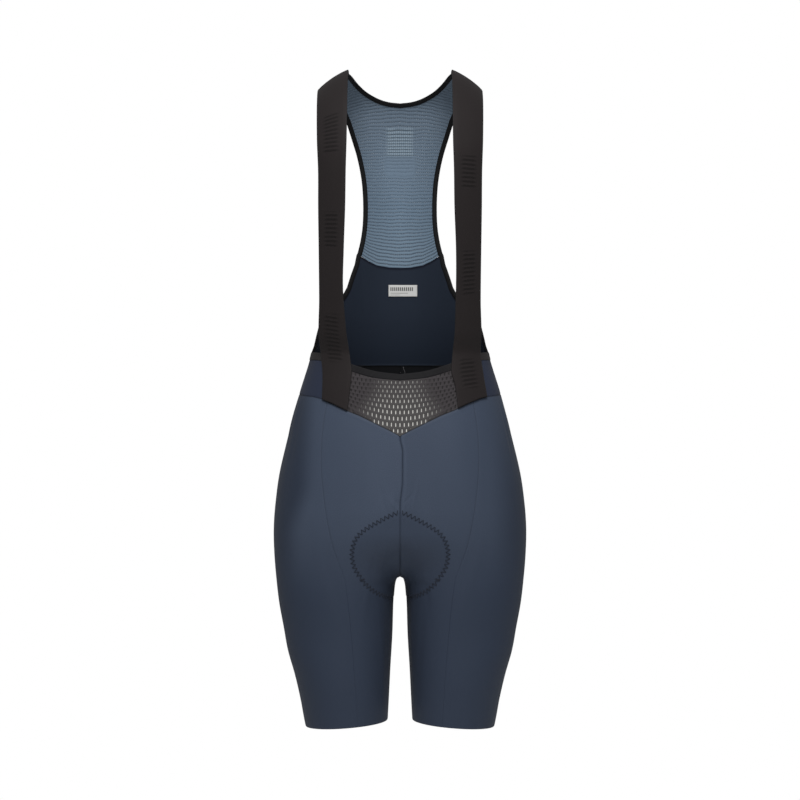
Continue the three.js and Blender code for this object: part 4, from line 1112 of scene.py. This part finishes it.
def net_shell(name, place, outward_at, a_lines, b_lines, is_open, clamp, raised_at, thickness, masks_at):
    """a_lines and b_lines are the net's grid lines [row, column]; is_open marks the holes' cells."""
    a, b = clamp(a_lines, b_lines)
    flat = np.stack([a.ravel(), b.ravel()], 1)
    _, first, back = np.unique(np.round(flat / 0.002).astype(np.int64), axis=0,
                               return_index=True, return_inverse=True)
    back = back.ravel()
    cells = back[grid_faces(*a.shape)]
    shape = flat[first]
    x, y = shape[cells, 0], shape[cells, 1]
    area = 0.5 * np.sum(x * np.roll(y, -1, 1) - np.roll(x, -1, 1) * y, axis=1)
    outside = a_lines.ravel(), b_lines.ravel()
    moved = (np.hypot(outside[0] - a.ravel(), outside[1] - b.ravel()) > 0.3)[grid_faces(*a.shape)].any(1)
    keep = (area * np.sign(np.median(area)) > 0.02) & ~(is_open.ravel() & ~moved)
    faces, taken = [], set()
    for cell in cells[keep]:
        ring_of = [int(v) for k, v in enumerate(cell) if v != cell[k - 1]]
        if len(set(ring_of)) == len(ring_of) >= 3 and frozenset(ring_of) not in taken:
            taken.add(frozenset(ring_of))
            faces.append(ring_of)
    used = np.unique(np.concatenate(faces))
    renumber = np.full(len(shape), -1)
    renumber[used] = np.arange(len(used))
    faces = [[int(renumber[v]) for v in f] for f in faces]
    used = np.append(used, used[np.array(split_touching(faces, len(used)), int)])
    a, b = shape[used, 0], shape[used, 1]
    point, outward = place(a, b), outward_at(a, b)
    outer = point + outward * raised_at(a, b)[:, None]
    inner = point + outward * (raised_at(a, b) * 0.3 - thickness)[:, None]
    return shell(name, outer, inner, faces, np.stack([a, b], 1), masks_at(a, b) if masks_at else None)


print("points copied in a small example:", split_touching([[0, 1, 2], [2, 3, 4]], 5))

# %% [markdown]
# ### Back mesh
# Raised ribs run across, with a row of small holes between two ribs. At the neck's middle a
# patch of larger holes is knitted in, the ribs bend towards it, and below it the net is
# closed. The net's own coordinates are x and the way up the back.

# %% Outline of the back mesh
MESH_SEAM_MIDDLE = 183.5
ARMHOLE_BY_WAY = {"way": np.append(back_way(MESH_ARMHOLE["x"], MESH_ARMHOLE["height"]), SEAM_WAY),
                  "x": np.append(MESH_ARMHOLE["x"], 104.8)}
NECK_BY_X = {"x": np.append(MESH_NECK["x"], 75.0),
             "way": np.append(back_way(MESH_NECK["x"], MESH_NECK["height"]), SEAM_WAY)}


def mesh_bottom(x):
    turn = 1 - turn_across(np.minimum(np.abs(x) / smooth(SECTIONS, MESH_SEAM_MIDDLE, "half"), 1))
    return straight(MESH_SEAM, np.maximum(turn, BACK_CORNER_TURN), "height") + HALF_SEAM_GAP


def mesh_top(x):
    near = np.abs(x)
    return np.where(near < 75, smooth(NECK_BY_X, np.minimum(near, 75), "way"), SEAM_WAY)


def clamp_to_mesh(x, way):
    inside_way = np.clip(way, mesh_bottom(x), mesh_top(x))
    edge = smooth(ARMHOLE_BY_WAY, inside_way, "x")
    x = np.clip(x, -edge, edge)
    return x, np.clip(inside_way, mesh_bottom(x), mesh_top(x))


print("back mesh, way up the back:", mesh_bottom(0.0).round(1), "to", mesh_top(0.0).round(1), "mm")

# %% [markdown]
# Four grid lines make one rib and its row of holes: rib top, rib foot, and the two edges of
# the holes. The holes' size follows the place, and where it is nil the cell stays closed.

# %% Build the back mesh
RIB_PITCH, HOLE_PITCH = 4.95, 2.75
MESH_THICKNESS = 1.0


def hole_size(x, way):
    """Share of the full hole: smaller in the patch and above it, nil below it."""
    in_x = 1 - soft_step(np.abs(x), 17, 24)
    closed = plain_below(x, way)
    over = way - PATCH_HIGH
    above = in_x * soft_step(over, 1, 5) * (1 - soft_step(over, 18, 30))
    return 0.45 - 0.4 * closed - 0.1 * np.maximum(above, in_patch(x, way))


def in_patch(x, way):
    up = soft_step(way, PATCH_LOW - 1, PATCH_LOW + 1) * (1 - soft_step(way, PATCH_HIGH - 1, PATCH_HIGH + 1))
    return up * (1 - soft_step(np.abs(x), 16.5, 19))


def plain_below(x, way):
    """One for the smooth field under the patch."""
    up = soft_step(way, PATCH_LOW - 34, PATCH_LOW - 22) * (1 - soft_step(way, PATCH_LOW - 4, PATCH_LOW - 1.5))
    return up * (1 - soft_step(np.abs(x), 17, 24))


PATCH_LOW, PATCH_HIGH = (float(back_way(0.0, height)) for height in (341.0, 378.5))
PATCH_MIDDLE = (PATCH_LOW + PATCH_HIGH) / 2


def bent_rows(x, way):
    """Rows close up towards the patch in its width and slack off above and below."""
    near = 1 - soft_step(np.abs(x), 18, 30)
    from_patch = way - PATCH_MIDDLE
    pulled = -0.14 * from_patch * np.exp(-(from_patch / 30) ** 4)
    closer = -0.13 * 12 * np.log1p(np.exp((way - 300) / 12))
    wave = 0.35 * np.sin(x / 7.0 + way / 19.0) + 0.25 * np.sin(x / 3.1 - way / 11.0)
    wave = wave * (1 - 0.9 * near * np.exp(-(from_patch / 26) ** 4))
    sag = -0.0011 * x ** 2 * soft_step(way, 330, 400)
    along_seam = (mesh_bottom(x) - 183) * (1 - soft_step(way, 190, 262))
    return way + near * pulled + closer + wave + sag + along_seam


rib_count = int((SEAM_WAY - 170) / RIB_PITCH) + 13
hole_count = int(2 * 108 / HOLE_PITCH) + 2
rib_centres = 172 + RIB_PITCH * np.arange(rib_count)
hole_centres = HOLE_PITCH * (np.arange(hole_count) - (hole_count - 1) / 2)
HOLE_WIDE, HOLE_TALL = 0.62, 0.80

column = np.repeat(hole_centres, 2)
column_side = np.tile([-0.5, 0.5], hole_count)
row_base = np.repeat(rib_centres, 3)
row_side = np.tile([-0.5, 0.5, 0.0], rib_count)
row_is_crest = np.tile([0, 0, 1], rib_count)
columns_grid, rows_grid = np.broadcast_arrays(column[None, :], row_base[:, None])
size = np.clip(hole_size(columns_grid, bent_rows(columns_grid, rows_grid)), 0.05, 1.6)
x_lines = columns_grid + column_side[None, :] * HOLE_WIDE * size
way_lines = rows_grid + row_side[:, None] * HOLE_TALL * np.where(row_is_crest[:, None], 0, size)
way_lines = way_lines + row_is_crest[:, None] * RIB_PITCH / 2
way_lines = bent_rows(x_lines, way_lines)
cell_open = np.zeros((len(row_base) - 1, len(column) - 1), bool)
cell_open[0::3, 0::2] = size[0:-1:3, 0:-1:2] > 0.3


def rib_phase(x, way):
    """Whole numbers on the rows of holes, halves on the crests of the ribs."""
    unbent = way
    for _ in range(4):
        unbent = way - (bent_rows(x, unbent) - unbent)
    return (unbent - 172) / RIB_PITCH


def rib_relief(x, way):
    return 0.45 * (1 - plain_below(x, way)) * (0.5 - 0.5 * np.cos(2 * np.pi * rib_phase(x, way))) - 0.3


back_mesh = net_shell(
    "back_mesh_net", torso_point, lambda x, way: outward_of(torso_point, x, way, -0.5, 0.5),
    x_lines, way_lines, cell_open, clamp_to_mesh, rib_relief, MESH_THICKNESS - 0.2,
    lambda x, way: {"rib": rib_phase(x, way), "patch": in_patch(x, way), "plain": plain_below(x, way)})
dress(back_mesh, "back_mesh", "back_mesh", back_net, back_net)
print("back mesh", len(back_mesh.data.polygons), "faces", round(cloth_area(back_mesh), 4), "m2")

# %% [markdown]
# ### Front mesh
# A staggered net of upright slots, 5.6 mm apart across and 5.5 to 8 mm in height. A pale yarn
# lies behind the slots, and painted light makes it brightest low in the middle.

# %% Build the front mesh
SLOT_ACROSS = 5.6
SLOT_WIDE, SLOT_TALL = 1.3, 4.5
SLOT_ROWS = np.array([
    -48.5, -40.5, -32.6, -24.4, -16.2, -8.8, -1.7, 5.0, 11.4, 17.3, 23.1, 28.8, 34.3, 39.8, 45.3, 51])


def clamp_to_front(x, height):
    x = np.clip(x, -90.0, 90.0)
    for _ in range(3):
        turn = turn_across(np.minimum(np.abs(x) / section(height)[0], 0.999))
        low, high = yoke_height(turn) - 1.1 * np.exp(-(x / 3) ** 2), band_low(turn)
        height = np.clip(height, low, high)
        limit = body_point(height, mix(*JOINT_TURNS, (height - low) / (high - low)))[..., 0]
        x = np.clip(x, -limit, limit)
    return x, height


def front_outward(x, height):
    return outward_of(front_place, x, height, 0.5, 0.5)


slot_columns = int(2 * 92 / SLOT_ACROSS) + 1
slot_rows = len(SLOT_ROWS)


def row_bow(height):
    """Rise of a row at 50 mm from the middle: the lowest rows follow the yoke seam."""
    return mix(3.4, 11.5, soft_step(-height, -20, 38))


column_centre = SLOT_ACROSS * (np.arange(slot_columns) - (slot_columns - 1) / 2)
stagger = SLOT_ACROSS / 2
edges = np.array([-SLOT_WIDE / 2, SLOT_WIDE / 2, stagger - SLOT_WIDE / 2, stagger + SLOT_WIDE / 2])
slot_x = (column_centre[:, None] + edges[None, :]).ravel()
slot_tall = SLOT_TALL * np.gradient(SLOT_ROWS)[:, None] / 7.2
slot_heights = (SLOT_ROWS[:, None] + np.array([-0.5, -0.36, 0.36, 0.5, 0.8])[None, :] * slot_tall).ravel()
slot_a, slot_b = np.broadcast_arrays(slot_x[None, :], slot_heights[:, None])
slot_b = slot_b + row_bow(slot_b) * (slot_a / 50) ** 2
slot_open = np.zeros((len(slot_heights) - 1, len(slot_x) - 1), bool)
for row in range(slot_rows):
    first = 0 if row % 2 == 0 else 2
    slot_open[row * 5:row * 5 + 3, first::4] = True
narrow = np.tile([1.0, 0, 0, 1.0, 0], slot_rows)[:, None] * 0.55
pull = np.tile([1, -1, 1, -1], slot_columns)[None, :]
odd = (np.arange(len(slot_heights)) // 5 % 2)[:, None]
mine = np.tile([1, 1, 0, 0], slot_columns)[None, :] == (1 - odd)
slot_a = slot_a + narrow * pull * mine * SLOT_WIDE / 2 * 0.6


def front_relief(x, height):
    row = height
    for _ in range(4):
        row = height - row_bow(row) * (x / 50) ** 2
    level = np.interp(row, SLOT_ROWS, np.arange(slot_rows))
    return 0.18 * np.cos(2 * np.pi * level + np.pi) - 0.1


def pale_and_lit_at(x, height):
    """Share of the pale yarn's painted light: brightest low in the middle, less to the sides."""
    reach = np.clip(mix(30, 52, soft_step(-height, -25, 35)), 20, 60)
    middle = np.exp(-(x / reach) ** 4)
    return {"pale": middle * mix(0.42, 1.0, soft_step(-height, -28, 20))}


front_mesh = net_shell("front_mesh_net", front_place, front_outward, slot_a, slot_b, slot_open,
                       clamp_to_front, front_relief, 0.55, pale_and_lit_at)
dress(front_mesh, "front_mesh", "front_mesh", front_net, front_net)

backing_x, backing_height = np.broadcast_arrays(np.linspace(-89, 89, 90)[None, :],
                                                np.linspace(-47, 54, 52)[:, None])


front_backing = net_shell(
    "front_mesh_backing", front_place, front_outward, backing_x, backing_height,
    np.zeros((51, 89), bool), clamp_to_front, lambda x, height: 0 * x - 0.75, 0.35, pale_and_lit_at)
front_backing.data.materials.append(backing)
front_backing.data.materials.append(backing)
print("front mesh", len(front_mesh.data.polygons), "faces", round(cloth_area(front_mesh), 5), "m2")

# %% [markdown]
# ## Straps
# A strap is 38 mm of firm elastic. It starts under the band, is sewn down to the yoke
# seam, rises off the body and runs flat over the shoulder. Its long edges are slightly
# rounded, and the woven blocks are marked for the finish.

# %% Build the straps
STRAP_THICKNESS = 1.5
BLOCKS = {  # middle height and half length of each woven block
    "right": ((349, 27), (222, 23), (82, 31)),
    "left": ((297, 21), (167, 28), (35, 19)),
}


def strap_grid(in_name, out_name, across, up):
    """The strap's points, their outward directions, the height below the chest and the share across."""
    def rise_at(way):
        return FRONT_CHEST_HEIGHT + CHEST_WAY - way

    def edge_at(way, part):
        start = smooth(STRAP_EDGES, rise_at(way), in_name)
        return mix(start, smooth(STRAP_EDGES, rise_at(way), out_name), part)

    end_x = edge_at(np.full(across.shape, CHEST_WAY + FRONT_CHEST_HEIGHT), across)
    turn = turn_across(end_x / float(smooth(SECTIONS, 0, "half")))
    end_way = CHEST_WAY + FRONT_CHEST_HEIGHT - yoke_height(turn)

    def point_at(part, up_part):
        way = mix(np.interp(part, across, end_way), SEAM_WAY - 0.3, up_part)
        return torso_point(edge_at(way, part), way)

    part, up_part = np.broadcast_arrays(across[None, :], up[:, None])
    way = mix(end_way[None, :], SEAM_WAY - 0.3, up_part)
    point = torso_point(edge_at(way, part), way)
    outward = outward_of(point_at, np.clip(part, 0.02, 0.98), np.clip(up_part, 0.003, 0.997), 0.02, 0.003)
    return point, outward, rise_at(way), part


for side in ("left", "right"):
    point, outward, rise, part = strap_grid(
        f"{side}In", f"{side}Out", crowded(18, 0.6), np.linspace(0, 1, 260))
    lift = mix(1.1, -1.5, soft_step(rise, 75, 130)) + STRAP_THICKNESS
    wide = np.linalg.norm(point[:, -1] - point[:, 0], axis=1)[:, None]
    from_edge = np.minimum(part, 1 - part) * wide
    lift = lift - 0.45 * np.exp(-from_edge / 0.5)
    lift = lift - 0.25 * np.exp(-((from_edge - 2.2) / 0.5) ** 2)
    block = np.zeros_like(rise)
    for middle, half in BLOCKS[side]:
        block = np.maximum(block, 1 - soft_step(np.abs(rise - middle), half - 2, half + 2))
    block = block * (1 - soft_step(np.abs(part - 0.5), 0.22, 0.27))
    strap = grid_shell(f"strap_{side}_elastic", point, outward, lift, STRAP_THICKNESS,
                       {"woven_block": block}, mirrored=side == "right", middle=9)
    dress(strap, f"strap_{side}", "elastic", strap_cloth, strap_cloth)
    print(strap.name, round(cloth_area(strap), 4), "m2")

# %% [markdown]
# ## Bindings
# The armholes and the neck are bound with a tape of elastic, folded over the cut edge. A
# rounded section is carried along the edge, which keeps its width on every bend.

# %% Build the bindings
TAPE_MIDDLE, TAPE_HALF = (1.95, -0.55), (3.35, 1.15)
TAPE_FULLNESS, TAPE_ROUND = 3.2, 15


def binding(name, point, outward, mirrored=False):
    along = np.gradient(point, axis=0)
    away = unit(np.cross(outward, unit(along)))
    angles = np.linspace(0, 2 * np.pi, 15)[:-1]
    across, up = ring(angles, TAPE_FULLNESS)
    outs, raises = TAPE_MIDDLE[0] + TAPE_HALF[0] * across, TAPE_MIDDLE[1] + TAPE_HALF[1] * up
    rings = point[:, None] + away[:, None] * outs[:, None] + outward[:, None] * raises[:, None]
    v, u = np.broadcast_arrays(along_grid(point, 0)[:, None], np.linspace(0, TAPE_ROUND, len(angles)))
    return tube(name, rings * (-1, 1, 1) if mirrored else rings,
                np.stack([u.ravel(), v.ravel()], 1), turned=not mirrored)


def armhole_edge():
    turns = np.concatenate([[0.4993, 0.506, 0.52], LOWER_BACK_TOP["turn"][1:]])
    turns = np.unique(np.concatenate([turns, np.linspace(0.52, 0.866, 60)]))
    low = body_point(lower_back_top(turns), turns)

    def low_at(turn, height):
        return body_point(height, turn)

    low_out = outward_of(low_at, turns, lower_back_top(turns), 0.002, 0.8)
    ways = np.linspace(float(mesh_bottom(54.6)) + 2, SEAM_WAY + 0.8, 110)
    x = smooth(ARMHOLE_BY_WAY, ways, "x")
    high, high_out = torso_point(x, ways), outward_of(torso_point, x, ways, -0.5, 0.5)
    return np.concatenate([low, high]), np.concatenate([low_out, high_out])


edge, edge_out = armhole_edge()
for side in ("left", "right"):
    tape = binding(f"armhole_binding_{side}_tape", edge, edge_out, mirrored=side == "right")
    dress(tape, f"armhole_binding_{side}", "binding", binding_cloth)
neck_x = np.linspace(-74.2, 74.2, 150)
neck_way = mesh_top(neck_x)
neck_x[[0, -1]] = -75.4, 75.4
neck_way[[0, -1]] = SEAM_WAY + 1.0
neck = torso_point(neck_x, neck_way)
neck_out = outward_of(torso_point, neck_x, neck_way, -0.5, 0.5)
tape = binding("neck_binding_tape", neck[::-1], neck_out[::-1])
dress(tape, "neck_binding", "binding", binding_cloth)

# %% [markdown]
# ## Label
# A small satin label is sewn inside the lower back. It is a thin shell that follows the
# cloth, because a flat card would cut into the curve of the back.

# %% Build the label
LABEL_X, LABEL_HEIGHTS = (24, -16), (143, 159)
label_x, label_height = np.broadcast_arrays(
    np.linspace(*LABEL_X, 41)[None, :], np.linspace(*LABEL_HEIGHTS, 17)[:, None])
label_point = torso_point(label_x, label_height)
label_out = outward_of(torso_point, label_x, label_height, -0.5, 0.5)
sway = 0.25 * np.sin(label_x / 9.0) - 0.3 * ((label_height - 143) / 16) ** 2
label = grid_shell("label_woven", label_point, label_out,
                   -PANEL_THICKNESS - 0.4 + np.minimum(sway, 0.1), 0.7)
dress(label, "label", "label", label_cloth, label_cloth)

# %% [markdown]
# ## Seat pad
# The pad is foam under a brushed knit, thick in the middle and thin at its sewn edge, with
# pressed channels. It is worked out from the fork in rings, so its inner face can swell
# between the channels without a simulation, and it keeps clear of the jersey.

# %% Build the pad
PAD_EDGE, PAD_MIDDLE = 1.6, 8.0
PAD_CHANNELS = [(0.42, 0.03, 1.6), (0.74, 0.025, 1.2)]  # share of the way out, width, depth


def pad_place(angle, reach):
    """Height and x at this angle and reach from the fork."""
    height = FORK_HEIGHT + reach * np.cos(np.radians(angle))
    return height, leg_space(height) + reach * np.sin(np.radians(angle))


def pad_layers(rings, spokes):
    """Points on the jersey, their outward directions and their share of the way to the edge."""
    share = np.concatenate([[0.02], np.linspace(0, 1, rings + 1)[1:] ** 0.8])[:, None]
    quarter = 180 * (1 - (1 - np.linspace(0, 1, spokes + 1)) ** 1.3)
    angle = np.concatenate([quarter, quarter[-2:0:-1]])
    on_front = np.concatenate([np.ones(spokes + 1, bool), np.zeros(spokes - 1, bool)])
    edge = np.where(on_front, *(smooth(PAD_REACH, angle, name) for name in ("front", "back")))
    height, x = pad_place(angle, edge * share ** 1.6)
    turn = np.where(on_front, turn_at_x(height, x, True), turn_at_x(height, x, False))
    turn = np.where(angle == 0, np.where(on_front, 0.0, 1.0), turn)
    return shorts_point(height, turn), shorts_outward(height, turn), share


pad_point, pad_out, pad_part = pad_layers(30, 40)
channels = sum(deep * np.exp(-((pad_part - place) / wide) ** 2) for place, wide, deep in PAD_CHANNELS)
foam = mix(PAD_EDGE, PAD_MIDDLE, 1 - pad_part ** 4) - channels * (0.4 + 0.6 * (1 - pad_part))
clear = PANEL_THICKNESS + mix(0.9, 2.0, (1 - pad_part) ** 2)


def pad_surface(depth):
    """The half on one leg, then its mirror image back to the start."""
    half = pad_point - pad_out * depth[..., None]
    return np.concatenate([half, half[:, ::-1] * (-1, 1, 1)], axis=1)


pad_outer, pad_inner = pad_surface(clear), pad_surface(clear + foam)
pad_faces = ring_faces(*pad_outer.shape[:2])
pad = shell("seat_pad_foam", pad_outer.reshape(-1, 3), pad_inner.reshape(-1, 3), pad_faces,
            np.zeros((pad_outer[..., 0].size, 2)))
dress(pad, "seat_pad", "pad", pad_cloth, pad_cloth)
print("pad", len(pad.data.polygons), "faces")

# %% [markdown]
# ## Sewing
# The pad's zigzag shows on the outside. Each stitch is a short length of thread from one
# side of the pad's outline to the other, lying on the jersey. They are six-sided tubes in
# one mesh.

# %% Thread


def thread_tube(name, path, radius, finish):
    """A closed tube of thread along a list of points in mm."""
    along = unit(np.gradient(path, axis=0))
    side = unit(np.cross(along, np.array([0.0, 0.0, 1.0]) + 0.01))
    up = np.cross(side, along)
    angles = np.linspace(0, 2 * np.pi, 7)[:-1]
    circle = np.cos(angles)[:, None] * side[:, None] + np.sin(angles)[:, None] * up[:, None]
    piece = tube(name, path[:, None] + radius * circle)
    piece.data.materials.append(finish)
    return piece


STITCH, SWING = 3.0, 3.2


def zigzag(on_front, side):
    """Places of the thread: it dips through the cloth at every turn of the zigzag."""
    angle = np.linspace(0, 176, 400)
    height, x = pad_place(angle, smooth(PAD_REACH, angle, "front" if on_front else "back"))
    turn = turn_at_x(height, np.maximum(x, 0.3), on_front)
    point, outward = shorts_point(height, turn), shorts_outward(height, turn)
    length = along_grid(point, 0)
    stops = np.arange(2.0, length[-1] - 2, STITCH)
    centre, out = (np.stack([np.interp(stops, length, values[:, k]) for k in range(3)], 1)
                   for values in (point, outward))
    swing = np.where(np.arange(len(stops)) % 2 == 0, SWING, -SWING)
    end = centre + unit(np.cross(out, np.gradient(centre, axis=0))) * swing[:, None]
    path = [mix(end[:-1], end[1:], part) for part in (0, 0.15, 0.5, 0.85)]
    path = np.stack(path, 1).reshape(-1, 3)
    height = path[:, 2]
    turn = turn_at_x(height, np.maximum(path[:, 0], 0.3), on_front)
    point, outward = shorts_point(height, turn), shorts_outward(height, turn)
    sunk = np.tile([-0.2, 0.25, 0.3, 0.25], len(path) // 4)
    path = point + outward * (jersey_relief(side, height, turn, point) + sunk)[:, None]
    return path * ((-1, 1, 1) if side == "right" else (1, 1, 1))


sewing = []
for side in ("left", "right"):
    for on_front in (True, False):
        where = "front" if on_front else "back"
        path = zigzag(on_front, side)
        sewing.append(thread_tube(f"pad_zigzag_{where}_{side}", path, 0.42, thread))
tail_height = np.linspace(46.5, -30, 60)
tail_x = 5.6 + 0.9 * np.sin(tail_height / 1.9) + 0.5 * np.sin(tail_height / 4.7)
tail_turn = turn_at_x(tail_height, tail_x, False)
tail = shorts_point(tail_height, tail_turn) - shorts_outward(tail_height, tail_turn) * (PANEL_THICKNESS + 0.5)
sewing.append(thread_tube("centre_back_overlock", tail, 0.3, pale_thread))
print("sewing:", len(sewing))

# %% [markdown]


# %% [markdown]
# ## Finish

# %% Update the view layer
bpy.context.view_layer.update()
